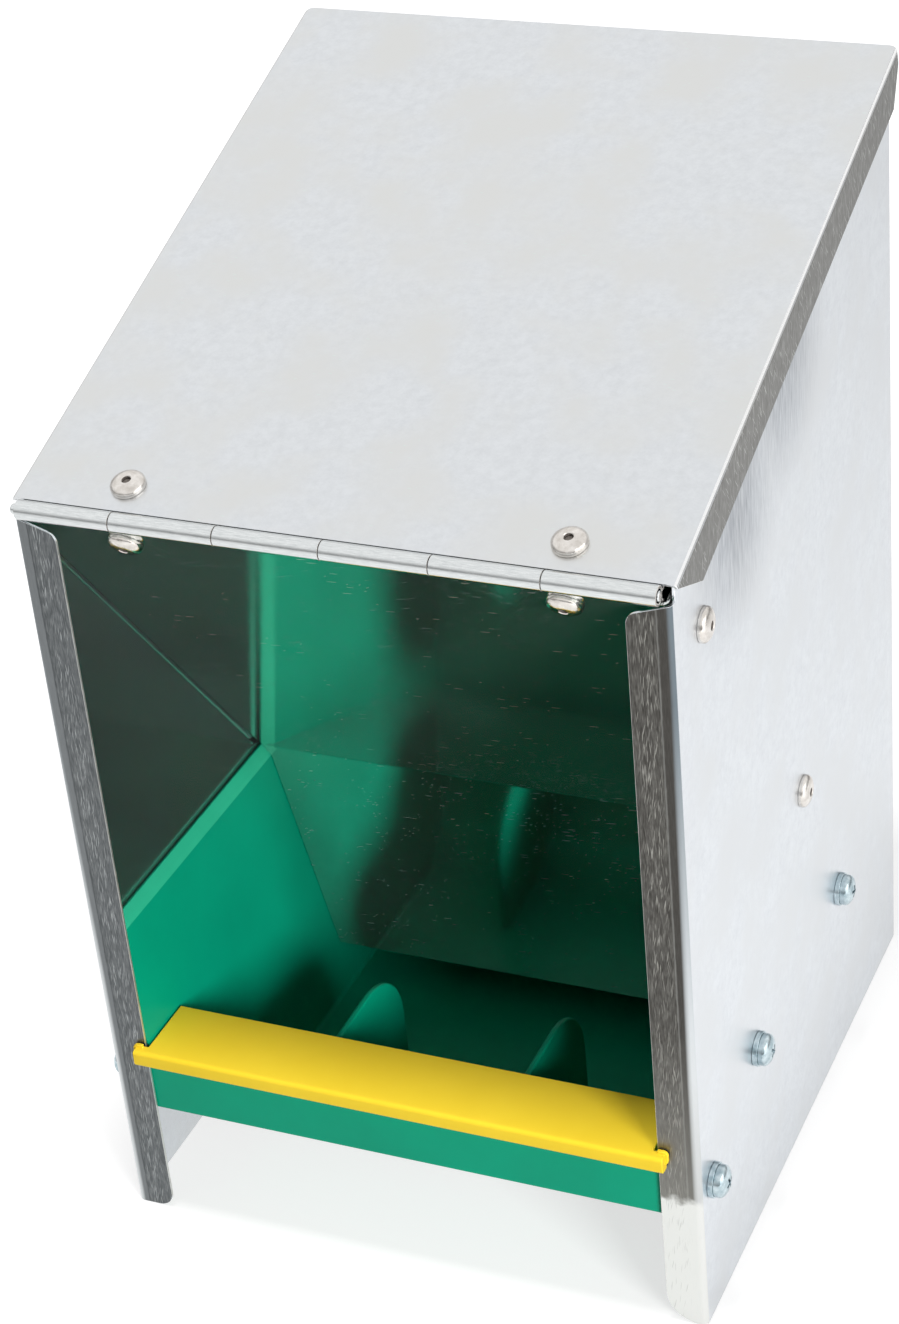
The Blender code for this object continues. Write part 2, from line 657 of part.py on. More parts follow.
def trough_section(wall, low, high):
    """The trough seen from the front, inside or with its wall added, from low to high."""
    ledge_z = TROUGH_RIM - LEDGE_DROP
    rim = INSERT_HALF_WIDTH - RIM_FLAT
    right = [(cheek_inside(low), low), (cheek_inside(ledge_z), ledge_z), (rim, TROUGH_RIM), (rim, high)]
    right = offset_path(right, -wall)
    left = [(-x, z) for x, z in reversed(right)]
    return right + left


def make_cavity():
    """The hollow of the trough, open at the top and over its low front wall."""
    inside = offset_path(TROUGH_PROFILE, TROUGH_WALL)
    above = TROUGH_RIM + CUT_MARGIN
    profile = [
        (TROUGH_FRONT - CUT_MARGIN, above),
        (TROUGH_FRONT - CUT_MARGIN, FRONT_WALL_TOP),
        (inside[1][0], FRONT_WALL_TOP),
        *inside[1:-1],
        (inside[-1][0], above),
    ]
    cavity = extruded("trough_cavity", profile, "X", -HALF_WIDTH, HALF_WIDTH, FRAME)
    section = trough_section(0, 0, above + CUT_MARGIN)
    sides = extruded("trough_cavity_sides", section, "Y", -2 * CUT_MARGIN, BODY_DEPTH + CUT_MARGIN, FRAME)
    boolean(cavity, sides, "INTERSECT")
    return cavity


def divider_outline():
    """A divider seen from the side: notched for the lip's leg, level on top, and round down to the floor."""
    middle = offset_path(TROUGH_PROFILE, TROUGH_WALL / 2)
    leg_back = TROUGH_FRONT + TROUGH_WALL + LIP_LEG + 2 * FIT_GAP
    shoulder = LIP_TOP - LIP_PLATE - LIP_LEG_DEPTH - 2 * FIT_GAP
    round_y = DIVIDER_DEPTH - DIVIDER_RADIUS
    round_z = DIVIDER_TOP - DIVIDER_RADIUS
    return [
        (middle[1][0], shoulder),
        middle[1],
        middle[2],
        (DIVIDER_DEPTH, middle[2][1]),
        *arc((round_y, round_z), DIVIDER_RADIUS, 0, 90, 2 * BEND_STEPS),
        (leg_back + FIT_GAP, DIVIDER_TOP),
        (leg_back + FIT_GAP, shoulder),
    ]


def make_trough():
    trough = extruded(
        "trough", TROUGH_PROFILE, "X", -INSERT_HALF_WIDTH, INSERT_HALF_WIDTH, FRAME, GREEN_PLASTIC
    )
    section = trough_section(TROUGH_WALL, 0, TROUGH_RIM + 2 * CUT_MARGIN)
    sides = extruded("trough_sides", section, "Y", -CUT_MARGIN, BODY_DEPTH + CUT_MARGIN, FRAME)
    boolean(trough, sides, "INTERSECT")
    # Its upright corners are round, to lie inside the body's bends
    wide = INSERT_HALF_WIDTH
    corners = [(0, TROUGH_BACK), (-wide, TROUGH_BACK), (-wide, TROUGH_FRONT), (wide, TROUGH_FRONT)]
    plan = filleted([*corners, (wide, TROUGH_BACK), (0, TROUGH_BACK)], TROUGH_CORNER)[:-1]
    boolean(trough, extruded("trough_plan", plan, "Z", 0, TROUGH_RIM + CUT_MARGIN, FRAME), "INTERSECT")
    # The front wall is wider than the trough between its cheeks, and closes the gaps beside them
    front_half = INSERT_HALF_WIDTH - TROUGH_CORNER
    front_wall = box(
        "front_wall",
        (-front_half, TROUGH_FRONT, FRONT_WALL_FOOT),
        (front_half, TROUGH_FRONT + TROUGH_WALL, FRONT_WALL_TOP),
        FRAME,
    )
    join(trough, front_wall)
    for side_name, sign in SIDES.items():
        for spot, (y, z) in SCREW_SPOTS.items():
            reach = sorted((sign * (cheek_inside(z) - BOSS_RADIUS), sign * INSERT_HALF_WIDTH))
            join(trough, rod(f"boss_{side_name}_{spot}", (0, y, z), BOSS_RADIUS, *reach, "X", FRAME))
    cut(trough, make_cavity())
    for side_name, sign in SIDES.items():
        middle = sign * DIVIDER_SPREAD / 2
        reach = (middle - DIVIDER_SHEET / 2, middle + DIVIDER_SHEET / 2)
        join(trough, extruded(f"divider_{side_name}", divider_outline(), "X", *reach, FRAME))
        for spot, (y, z) in SCREW_SPOTS.items():
            depth = sorted((sign * (SCREW_END - FIT_GAP), sign * (HALF_WIDTH + CUT_MARGIN)))
            hole = rod(f"boss_hole_{side_name}_{spot}", (0, y, z), SCREW_HOLE_RADIUS, *depth, "X", FRAME)
            cut(trough, hole)
    return trough


def make_lip():
    """The lip: a plate over the trough, a bead in front of the flanges, and a slot for the front wall."""
    bead_front = -LIP_BEAD_PROUD
    bead_foot = LIP_TOP - LIP_BEAD_HEIGHT
    r = LIP_BEAD_RADIUS
    plate_under = LIP_TOP - LIP_PLATE
    wall_front = TROUGH_FRONT - FIT_GAP
    leg_front = TROUGH_FRONT + TROUGH_WALL + FIT_GAP
    leg_back = leg_front + LIP_LEG
    leg_foot = plate_under - LIP_LEG_DEPTH
    outline = [
        *arc((bead_front + r, LIP_TOP - r), r, 90, 180, BEND_STEPS),
        *arc((bead_front + r, bead_foot + r), r, 180, 270, BEND_STEPS),
        (wall_front, bead_foot),
        (wall_front, plate_under),
        (leg_front, plate_under),
        (leg_front, leg_foot),
        (leg_back, leg_foot),
        (leg_back, plate_under),
        (LIP_REACH, plate_under),
        (LIP_REACH, LIP_TOP),
    ]
    bead_half = HALF_WIDTH - FLANGE_WIDTH + LIP_OVERLAP
    plate_half = min(cheek_inside(plate_under), HALF_WIDTH - FLANGE_WIDTH) - FIT_GAP
    lip = extruded("trough_lip", outline, "X", -bead_half, bead_half, FRAME, YELLOW_PLASTIC)
    # Behind the flanges' front face the lip narrows, to pass between them and between the cheeks
    low = leg_foot - CUT_MARGIN
    high = LIP_TOP + CUT_MARGIN
    end_trim = [
        (plate_half - (plate_under - low) * math.tan(CHEEK_DRAFT), low),
        (plate_half, plate_under),
        (plate_half, high),
        (bead_half + CUT_MARGIN, high),
        (bead_half + CUT_MARGIN, low),
    ]
    for side_name, sign in SIDES.items():
        trim = mirrored(end_trim, sign)
        cut(lip, extruded("lip_trim_" + side_name, trim, "Y", -FIT_GAP, LIP_REACH + CUT_MARGIN, FRAME))
        # A small lug stands up behind each end of the bead and lies on the flange
        lug_radius = LIP_BEAD_HEIGHT / 2
        lug_x = bead_half + LIP_LUG_REACH - lug_radius
        lug_low = bead_foot + LIP_LUG_RISE / 2 + lug_radius
        lug_high = LIP_TOP + LIP_LUG_RISE - lug_radius
        lug = [
            (plate_half + LIP_LUG_SHEET, lug_low - lug_radius),
            *arc((lug_x, lug_low), lug_radius, -90, 0, BEND_STEPS),
            *arc((lug_x, lug_high), lug_radius, 0, 90, BEND_STEPS),
            (plate_half + LIP_LUG_SHEET, lug_high + lug_radius),
        ]
        lug_back = -FIT_GAP - LIP_LUG_STEP
        lug_front = lug_back - LIP_LUG_SHEET
        join(lip, extruded(f"lip_lug_{side_name}", mirrored(lug, sign), "Y", lug_front, lug_back, FRAME))
    return lip


def make_screw(name):
    """A pan head screw with a cross recess: its head is above the origin, and its axis is Z."""
    crown = []
    for i in range(BEND_STEPS + 1):
        share = i / BEND_STEPS
        rise = (SCREW_HEAD_HEIGHT - SCREW_HEAD_RIM) * math.sqrt(1 - share * share)
        crown.append((SCREW_HEAD_RADIUS * share, SCREW_HEAD_RIM + rise))
    profile = [
        *crown,
        (SCREW_HEAD_RADIUS, 0),
        (SCREW_RADIUS, 0),
        (SCREW_RADIUS, SCREW_TIP - SCREW_LENGTH),
        (SCREW_RADIUS / 2, -SCREW_LENGTH),
        (0, -SCREW_LENGTH),
    ]
    screw = turned(name, profile, FRAME, ZINC)
    low = SCREW_HEAD_HEIGHT - RECESS_DEPTH
    high = SCREW_HEAD_HEIGHT + CUT_MARGIN
    long = RECESS_LENGTH / 2
    wide = RECESS_WIDTH / 2
    for label, x, y in (("a", long, wide), ("b", wide, long)):
        slot = box(f"{name}_slot_{label}", (-x, -y, low), (x, y, high), screw)
        cut(screw, slot)
    return screw


def make_washer(name):
    washer = rod(name, (0, 0, 0), WASHER_RADIUS, 0, WASHER_THICKNESS, "Z", FRAME, ZINC)
    hole = rod(name + "_hole", (0, 0, 0), SCREW_HOLE_RADIUS, -CUT_MARGIN, CUT_MARGIN, "Z", washer)
    cut(washer, hole)
    return washer


def make_screws():
    for side_name, sign in SIDES.items():
        for spot, (y, z) in SCREW_SPOTS.items():
            screw = make_screw(f"trough_screw_{side_name}_{spot}")
            screw.location = (sign * SCREW_SEAT, y, z)
            screw.rotation_euler = Euler((0, sign * math.pi / 2, 0))
            washer = make_washer(f"trough_washer_{side_name}_{spot}")
            washer.location = (sign * WASHER_SEAT, y, z)
            washer.rotation_euler = Euler((0, sign * math.pi / 2, 0))


def smooth_round_pieces():
    for obj in PARTS.objects:
        if obj.type == "MESH":
            obj.data.shade_smooth()
            obj.data.set_sharp_from_angle(angle=math.radians(30))


make_body_shell()
make_baffle()
make_hinge()
make_lid()
make_rivets()
make_trough()
make_lip()
make_screws()
smooth_round_pieces()
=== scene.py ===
import json
import math
from functools import partial

import bmesh
import bpy
from mathutils import Euler, Matrix, Vector


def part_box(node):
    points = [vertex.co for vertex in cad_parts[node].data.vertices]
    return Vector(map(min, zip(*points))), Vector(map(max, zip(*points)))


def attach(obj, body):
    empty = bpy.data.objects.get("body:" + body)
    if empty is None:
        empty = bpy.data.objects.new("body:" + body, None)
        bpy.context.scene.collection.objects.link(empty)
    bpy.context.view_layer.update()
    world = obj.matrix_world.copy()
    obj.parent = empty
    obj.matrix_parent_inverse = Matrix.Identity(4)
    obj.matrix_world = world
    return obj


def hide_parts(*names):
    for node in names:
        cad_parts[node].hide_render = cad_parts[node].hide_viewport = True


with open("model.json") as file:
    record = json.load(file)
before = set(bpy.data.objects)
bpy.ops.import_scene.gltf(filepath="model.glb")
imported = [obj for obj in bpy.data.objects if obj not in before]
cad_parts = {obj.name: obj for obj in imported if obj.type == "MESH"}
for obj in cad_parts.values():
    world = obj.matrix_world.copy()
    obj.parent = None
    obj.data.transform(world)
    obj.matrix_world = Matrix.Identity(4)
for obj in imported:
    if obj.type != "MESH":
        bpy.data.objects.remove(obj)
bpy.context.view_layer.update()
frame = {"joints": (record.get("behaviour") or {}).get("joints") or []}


# Body sheet. One blank of 0.8 mm hot-dip galvanised steel, folded on a press brake to a back, two side
# walls and a narrow flange along the front of each wall. All else is riveted or screwed to it, and the
# lower edges of the walls are the feet.
SHEET = 0.0008
FIT_GAP = 0.0003
BODY_BEND = 0.002
FLANGE_WIDTH = 0.0121
FLANGE_TOP_DROP = 0.0026
FLANGE_TOP_RADIUS = 0.0035
FOOT_RADIUS = {-1: 0.005, 1: 0.010}
LID_SLOPE = math.radians(18.2)
BARREL_ROOM = 0.00305
RIVET_HOLE = 0.0027
EDGE_BREAK = 0.00012
NEAR = 0.00002
MARGIN = 0.01
ALONG = 0.9
TILTED = 0.3
SIDEWAYS = 0.1
ROUND_SIDES = 48
STROKE_CORE = 0.7
SMOOTH_ANGLE = math.radians(32)

hinge = Vector(frame["joints"][0]["pos_m"])
body_low, body_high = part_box("body_shell")
half_width = body_high.x
front = body_low.y
flange_inner = half_width - FLANGE_WIDTH


def open_mesh():
    bpy.ops.object.mode_set(mode="EDIT")


def close_mesh():
    bpy.ops.object.mode_set(mode="OBJECT")


def block(low, high):
    """Adds a cube that fills the box between two corners, and opens it in edit mode."""
    low = Vector(low)
    high = Vector(high)
    bpy.ops.object.select_all(action="DESELECT")
    bpy.ops.mesh.primitive_cube_add(size=1, location=(low + high) / 2, scale=high - low)
    bpy.ops.object.transform_apply(location=True, rotation=True, scale=True)
    open_mesh()
    return bpy.context.object


def pick(kind, test):
    """Selects what passes the test in the open mesh, tested by its middle and its direction.

    The direction of a face or a point is its normal, and that of an edge is its own run.
    """
    bpy.ops.mesh.select_mode(type=kind)
    bpy.ops.mesh.select_all(action="DESELECT")
    mesh = bmesh.from_edit_mesh(bpy.context.edit_object.data)
    if kind == "FACE":
        found = [(face, face.calc_center_median(), face.normal) for face in mesh.faces]
    elif kind == "EDGE":
        ends = [(edge, edge.verts[0].co, edge.verts[1].co) for edge in mesh.edges]
        found = [(edge, (a + b) / 2, (b - a).normalized()) for edge, a, b in ends]
    else:
        found = [(point, point.co, point.normal) for point in mesh.verts]
    for element, middle, direction in found:
        if test(middle, direction):
            element.select = True
    mesh.select_flush_mode()
    bmesh.update_edit_mesh(bpy.context.edit_object.data)


def drop_faces(test):
    """Deletes the faces of the open mesh that pass the test."""
    pick("FACE", test)
    bpy.ops.mesh.delete(type="FACE")


def slice_plane(place, normal, **settings):
    """Slices what is selected of the open mesh along a plane."""
    bpy.ops.mesh.bisect(plane_co=place, plane_no=normal, **settings)


def slice_all(place, normal, **settings):
    """Slices the whole open mesh along a plane."""
    bpy.ops.mesh.select_all(action="SELECT")
    slice_plane(place, normal, **settings)


def trim_faces(test, place, out):
    """Slices the faces that pass the test along a plane, and deletes what lies beyond it."""
    pick("FACE", test)
    slice_plane(place, out)
    drop_faces(lambda at, facing: test(at, facing) and (at - place).dot(out) > NEAR)


def round_off(kind, test, radius, steps, **settings):
    """Rounds the edges or the points of the open mesh that pass the test."""
    pick(kind, test)
    affect = {"EDGE": "EDGES", "VERT": "VERTICES"}[kind]
    bpy.ops.mesh.bevel(offset=radius, segments=steps, affect=affect, **settings)


def apply_modifier(piece, kind, **settings):
    """Adds a modifier to the piece with its settings, and applies it."""
    modifier = piece.modifiers.new(kind.lower(), kind)
    for name, value in settings.items():
        setattr(modifier, name, value)
    bpy.context.view_layer.objects.active = piece
    bpy.ops.object.modifier_apply(modifier=modifier.name)


def carve(piece, tool, way="DIFFERENCE"):
    """Cuts the tool out of the piece, or joins the two, and throws the tool away."""
    apply_modifier(piece, "BOOLEAN", object=tool, operation=way)
    bpy.data.objects.remove(tool, do_unlink=True)


def rod(start, end, radius, sides=ROUND_SIDES):
    """Adds a round bar between two points."""
    start = Vector(start)
    end = Vector(end)
    run = end - start
    bpy.ops.object.select_all(action="DESELECT")
    turn = run.to_track_quat("Z", "Y").to_euler()
    bpy.ops.mesh.primitive_cylinder_add(
        vertices=sides, radius=radius, depth=run.length, location=(start + end) / 2, rotation=turn
    )
    bpy.ops.object.transform_apply(location=True, rotation=True, scale=True)
    return bpy.context.object


def break_edges(piece, width, steps=2, angle=40):
    """Takes the sharpness off the piece's edges, as tumbling or wear does."""
    limit = {"limit_method": "ANGLE", "angle_limit": math.radians(angle), "use_clamp_overlap": False}
    apply_modifier(piece, "BEVEL", width=width, segments=steps, **limit)


def middle_of(node):
    low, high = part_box(node)
    return (low + high) / 2


def drill_across(piece, node, reach):
    """Drills a hole through both sides of the piece, at the height and the depth of a CAD node."""
    spot = middle_of(node)
    carve(piece, rod((-reach, spot.y, spot.z), (reach, spot.y, spot.z), RIVET_HOLE))


def select_only(piece):
    bpy.ops.object.select_all(action="DESELECT")
    piece.select_set(True)
    bpy.context.view_layer.objects.active = piece


def fit(piece, name, node, body, slot, *finishes):
    """Names, smooths and finishes the piece, and puts it on its body in the CAD node's place."""
    piece.name = name
    piece.data.name = name
    select_only(piece)
    bpy.ops.object.shade_smooth_by_angle(angle=SMOOTH_ANGLE)
    apply_modifier(piece, "WEIGHTED_NORMAL", keep_sharp=True)
    for finish in finishes:
        piece.data.materials.append(finish)
    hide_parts(node)
    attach(piece, body)


def use_finish(piece, number, test):
    """Gives the faces that pass the test another of the piece's materials."""
    bpy.context.view_layer.objects.active = piece
    open_mesh()
    pick("FACE", test)
    piece.active_material_index = number
    bpy.ops.object.material_slot_assign()
    close_mesh()


def colour(code):
    """A colour written in sRGB hex, as the linear values that a shader takes."""
    shares = [int(code[i : i + 2], 16) / 255 for i in (0, 2, 4)]
    return (*(s / 12.92 if s <= 0.04045 else ((s + 0.055) / 1.055) ** 2.4 for s in shares), 1.0)


def grey(level):
    return (level, level, level, 1.0)


def fill(node, inputs):
    """Fills a node's inputs with values or links.

    A node given as an input is linked by its first output, and a text is a colour in sRGB hex.
    """
    for key, value in inputs.items():
        if isinstance(value, bpy.types.Node):
            value = value.outputs[0]
        if isinstance(value, bpy.types.NodeSocket):
            node.id_data.links.new(value, node.inputs[key])
        elif isinstance(value, str):
            node.inputs[key].default_value = colour(value)
        else:
            node.inputs[key].default_value = value


def add_node(tree, kind, inputs=None, stops=None, **settings):
    """Adds a node with its settings, its inputs and its ramp's stops, in hex colours or grey levels."""
    node = tree.nodes.new("ShaderNode" + kind)
    for name, value in settings.items():
        setattr(node, name, value)
    fill(node, inputs or {})
    if stops:
        ramp = node.color_ramp.elements
        while len(ramp) < len(stops):
            ramp.new(1.0)
        for element, (place, shade) in zip(ramp, stops):
            element.position = place
            element.color = colour(shade) if isinstance(shade, str) else grey(shade)
    return node


def open_finish(finish):
    """What adds a node to a material, with its shader and the place of each point in metres."""
    add = partial(add_node, finish.node_tree)
    return add, finish.node_tree.nodes["Principled BSDF"], add("TexCoord").outputs["Object"]


def new_finish(name):
    """A new material, and with it what open_finish gives."""
    finish = bpy.data.materials.new(name)
    finish.use_nodes = True
    return finish, *open_finish(finish)


def strokes(add, place, turn, width, length, reach):
    """Straight scratches that run one way: long thin cells, of which only the core counts."""
    drawn = add(
        "Mapping",
        {"Vector": place, "Rotation": turn, "Scale": (width, width, length)},
        vector_type="TEXTURE",
    )
    cells = add("TexVoronoi", {"Vector": drawn, "Scale": 1.0})
    core = reach * STROKE_CORE
    return add(
        "MapRange",
        {"Value": cells, "From Min": core, "From Max": reach, "To Min": 1.0, "To Max": 0.0},
    )


def upright_grain(add, place, width, length, least, most):
    """A soft upright grain: a noise drawn out along z, which counts between two of its levels."""
    drawn = add("Mapping", {"Vector": place, "Scale": (width, width, length)}, vector_type="TEXTURE")
    noise = add("TexNoise", {"Vector": drawn, "Scale": 1.0, "Detail": 2.0})
    return add("MapRange", {"Value": noise, "From Min": least, "From Max": most})


def galvanised(name, pale, dull, warm, rough, metallic):
    """Hot-dip galvanised sheet: nearly even, with a faint mottle, clouds and a few scratches."""
    finish, add, shader, place = new_finish(name)
    # The spangle is 3 mm across and nearly levelled by the skin pass
    mottle = add("TexNoise", {"Vector": place, "Scale": 330.0, "Detail": 6.0, "Roughness": 0.75})
    clouds = add("TexNoise", {"Vector": place, "Scale": 40.0, "Detail": 3.0})
    tone = add("ValToRGB", {"Fac": mottle}, stops=[(0.30, dull), (0.62, pale)])
    cloudy = add("MapRange", {"Value": clouds, "From Min": 0.42, "From Max": 0.68})
    skin = add("MixRGB", {"Fac": cloudy, "Color1": tone, "Color2": warm})
    # Handling leaves scratches, 3 to 4 mm long and 0.2 mm wide, wider than real ones so that they show
    lying = strokes(add, place, (0.2, 1.45, 0.1), 0.0011, 0.020, 0.10)
    slanting = strokes(add, place, (0.7, 1.1, 0.3), 0.0016, 0.024, 0.06)
    scratched = add("Math", {0: lying, 1: slanting}, operation="MAXIMUM")
    patches = add("MapRange", {"Value": clouds, "From Min": 0.46, "From Max": 0.56, "To Max": 0.7})
    worn = add("Math", {0: scratched, 1: patches}, operation="MULTIPLY")
    final = add("MixRGB", {"Fac": worn, "Color1": skin, "Color2": "DDEBE6"})
    metal = add("MapRange", {"Value": worn, "To Min": metallic, "To Max": 0.6})
    gloss = add("MapRange", {"Value": mottle, "To Min": rough * 0.85, "To Max": rough * 1.15})
    torn = add("Math", {0: worn, 1: 0.6}, operation="MULTIPLY")
    gloss = add("Math", {0: gloss, 1: torn}, operation="MAXIMUM")
    bump = add("Bump", {"Height": mottle, "Strength": 0.12, "Distance": 0.0001})
    fill(shader, {"Base Color": final, "Metallic": metal, "Roughness": gloss, "Normal": bump})
    return finish


def nearness(add, place, spot, radius, far):
    """Counts 1 at a spot, and falls off softly to its far value at the radius and beyond."""
    away = add("VectorMath", {0: place, 1: spot}, operation="DISTANCE").outputs["Value"]
    fall = {"Value": away, "From Max": radius, "To Min": 1.0, "To Max": far}
    return add("MapRange", fall, interpolation_type="SMOOTHSTEP")


def add_painted_shade_patches(finish, spots, radius, dark):
    """Paints soft shade on the sheet round some spots, broken up by an upright grain."""
    add, shader, place = open_finish(finish)
    grain = upright_grain(add, place, 0.00045, 0.0070, 0.10, 0.75)
    patch = 0.0
    for spot in spots:
        near = nearness(add, place, spot, radius, 0.0)
        patch = add("Math", {0: near, 1: patch}, operation="MAXIMUM")
    share = add("Math", {0: patch, 1: grain}, operation="MULTIPLY")
    skin = shader.inputs["Base Color"].links[0].from_socket
    shaded_skin = add("MixRGB", {"Fac": share, "Color1": skin, "Color2": dark})
    fill(shader, {"Base Color": shaded_skin})


def hatching(add, place, turns):
    """Short straight marks, 4 mm long and 0.2 mm wide, that run along the turns and come and go."""
    hatch = 0.0
    for turn in turns:
        set_of_marks = strokes(add, place, turn, 0.0005, 0.0095, 0.22)
        hatch = add("Math", {0: set_of_marks, 1: hatch}, operation="MAXIMUM")
    clouds = add("TexNoise", {"Vector": place, "Scale": 190.0, "Detail": 2.0})
    presence = add(
        "MapRange", {"Value": clouds, "From Min": 0.40, "From Max": 0.60, "To Min": 0.35, "To Max": 1.0}
    )
    return add("Math", {0: hatch, 1: presence}, operation="MULTIPLY")


def rubbed_ground(add, place, ground, mark):
    """The dark skin between the marks: cloudy, with a fine upright grain."""
    clouds = add("TexNoise", {"Vector": place, "Scale": 300.0, "Detail": 5.0, "Roughness": 0.7})
    grain = upright_grain(add, place, 0.00030, 0.0030, 0.30, 0.75)
    grained = add("Math", {0: clouds, 1: grain}, operation="MULTIPLY")
    share = add("Math", {0: grained, 1: 0.6}, operation="MULTIPLY")
    return add("MixRGB", {"Fac": share, "Color1": ground, "Color2": mark})


def finish_rubbed(add, shader, skin, hatch):
    """Wires up a rubbed sheet: its marks are rougher than the burnished ground between them."""
    rough = add("MapRange", {"Value": hatch, "To Min": 0.32, "To Max": 0.55})
    bump = add("Bump", {"Height": hatch, "Strength": 0.15, "Distance": 0.0002})
    fill(shader, {"Base Color": skin, "Metallic": 0.85, "Roughness": rough, "Normal": bump})


def rubbed(name, ground, mark, turns):
    """Sheet that the folding die has rubbed dark, with pale hatching in the directions of the turns."""
    finish, add, shader, place = new_finish(name)
    hatch = hatching(add, place, turns)
    base = rubbed_ground(add, place, ground, mark)
    skin = add("MixRGB", {"Fac": hatch, "Color1": base, "Color2": mark})
    finish_rubbed(add, shader, skin, hatch)
    return finish


def rubbed_flange_with_bend_highlight(name, ground, mark, line, strip, foot_height):
    """A rubbed flange, hatched from its free edge to a scribed line, with a painted highlight along its
    bend and burnished at its foot.

    The bands lie side by side from the free edge (0) to the outside of the wall (1), and the skin gets
    paler towards the foot.
    """
    finish, add, shader, place = new_finish(name)
    axes = add("SeparateXYZ", {0: place})
    away = add("Math", {0: axes.outputs["X"]}, operation="ABSOLUTE")
    across = add("MapRange", {"Value": away, "From Min": flange_inner, "From Max": half_width})
    hatched_band = [(0.05, 0.1), (0.20, 1.0), (0.56, 1.0), (0.66, 0.15)]
    hatched = add("ValToRGB", {"Fac": across}, hatched_band)
    marks = hatching(add, place, [(0, 0.20, 0), (0, 0.12, 0), (0, 0.04, 0), (0, -0.06, 0)])
    hatch = add("Math", {0: marks, 1: hatched}, operation="MULTIPLY")
    on_strip = add("ValToRGB", {"Fac": across}, [(0.69, 0.0), (0.72, 0.8)])
    line_band = [(0.655, 0.0), (0.67, 0.5), (0.685, 0.5), (0.70, 0.0)]
    on_line = add("ValToRGB", {"Fac": across}, line_band)
    height = add("MapRange", {"Value": axes.outputs["Z"], "From Min": 0.09, "From Max": 0.21})
    narrowed = add("Math", {0: height, 1: -0.08, 2: across}, operation="MULTIPLY_ADD")
    # A painted highlight along the bend into the wall, pale low down and darker higher up
    bend_band = [(0.80, 0.0), (0.86, 0.7), (0.92, 1.0)]
    on_bend = add("ValToRGB", {"Fac": narrowed}, bend_band)
    bend = add("MixRGB", {"Fac": height, "Color1": "DCE0E2", "Color2": "76828A"})
    skin = rubbed_ground(add, place, ground, mark)
    for share, shade in ((hatch, mark), (on_strip, strip), (on_line, line), (on_bend, bend)):
        skin = add("MixRGB", {"Fac": share, "Color1": skin, "Color2": shade})
    rise = {"From Min": foot_height, "From Max": foot_height + 0.06, "To Min": 0.4, "To Max": 0.0}
    paler = add("MapRange", {"Value": axes.outputs["Z"], **rise})
    skin = add("MixRGB", {"Fac": paler, "Color1": skin, "Color2": mark})
    wavy = add("TexNoise", {"Vector": place, "Scale": 400.0})
    level = add("Math", {0: wavy, 1: 0.006, 2: axes.outputs["Z"]}, operation="MULTIPLY_ADD")
    above_foot = add(
        "MapRange",
        {"Value": level, "From Min": foot_height, "From Max": foot_height + 0.004},
        interpolation_type="SMOOTHSTEP",
    )
    faint = add("Math", {0: hatch, 1: 0.35}, operation="MULTIPLY")
    foot = add("MixRGB", {"Fac": faint, "Color1": "E4E5E2", "Color2": "8F908C"})
    skin = add("MixRGB", {"Fac": above_foot, "Color1": foot, "Color2": skin})
    finish_rubbed(add, shader, skin, hatch)
    return finish


GALVANISED_WALL = galvanised("hot_dip_galvanised_inside", "E6EAEE", "DFE3E7", "E2E5E6", 0.13, 0.97)
WALL_OUTSIDE = galvanised("hot_dip_galvanised_outside", "E9EDF1", "DCE0E5", "E2E5E8", 0.34, 1.0)
# Painted shade on the outside of each wall, round two spots just under the lid's flange
lid_flange_shade_spots = [(half_width, hinge.y + 0.050, 0.240), (half_width, hinge.y + 0.092, 0.262)]
add_painted_shade_patches(WALL_OUTSIDE, lid_flange_shade_spots, 0.045, "8A9099")
RIGHT_FLANGE = rubbed_flange_with_bend_highlight("die_rubbed_right_flange_with_bend_highlight", "403E3B", "A9A8A2", "8E8F8C", "454340", 0.047)
LEFT_FLANGE = rubbed_flange_with_bend_highlight("die_rubbed_left_flange_with_bend_highlight", "54585A", "B4B8B9", "4A4D4F", "7E8284", -0.060)
SHEARED_EDGE = galvanised("sheared_sheet_edge", "E8E9E6", "B9BBB8", "D8DAD7", 0.45, 0.8)

body = block((-half_width, front, 0), (half_width, body_high.y, body_high.z + MARGIN))
drop_faces(lambda at, facing: abs(facing.z) > ALONG)
for edge_x in (-flange_inner, flange_inner):
    pick("FACE", lambda at, facing: facing.y < -ALONG)
    slice_plane((edge_x, 0, 0), (1, 0, 0))
drop_faces(lambda at, facing: facing.y < -ALONG and abs(at.x) < flange_inner)
at_corner = lambda at, run: abs(run.z) > ALONG and abs(at.x) > half_width - NEAR
round_off("EDGE", at_corner, BODY_BEND, steps=8)
flange_top = hinge.z - FLANGE_TOP_DROP
for side in (-1, 1):
    fall = Vector((-side * math.sin(LID_SLOPE), 0, math.cos(LID_SLOPE)))
    top_outer = Vector((side * half_width, front, flange_top))
    on_flange = lambda at, facing: side * at.x > flange_inner - NEAR and at.y < front + BODY_BEND
    trim_faces(on_flange, top_outer, fall)
    top_inner_z = flange_top - FLANGE_WIDTH * math.tan(LID_SLOPE)
    at_edge = lambda at: abs(side * at.x - flange_inner) < NEAR and at.y < front + NEAR
    top_corner = lambda at, facing: at_edge(at) and abs(at.z - top_inner_z) < NEAR
    corner_cut = FLANGE_TOP_RADIUS * math.tan((math.pi / 2 - LID_SLOPE) / 2)
    round_off("VERT", top_corner, corner_cut, steps=8)
    foot_corner = lambda at, facing: at_edge(at) and abs(at.z) < NEAR
    round_off("VERT", foot_corner, FOOT_RADIUS[side], steps=10)
close_mesh()
apply_modifier(body, "SOLIDIFY", thickness=SHEET, offset=-1)
open_mesh()
slope_up = Vector((0, -math.sin(LID_SLOPE), math.cos(LID_SLOPE)))
slice_all(hinge, slope_up, clear_outer=True, use_fill=True)
close_mesh()
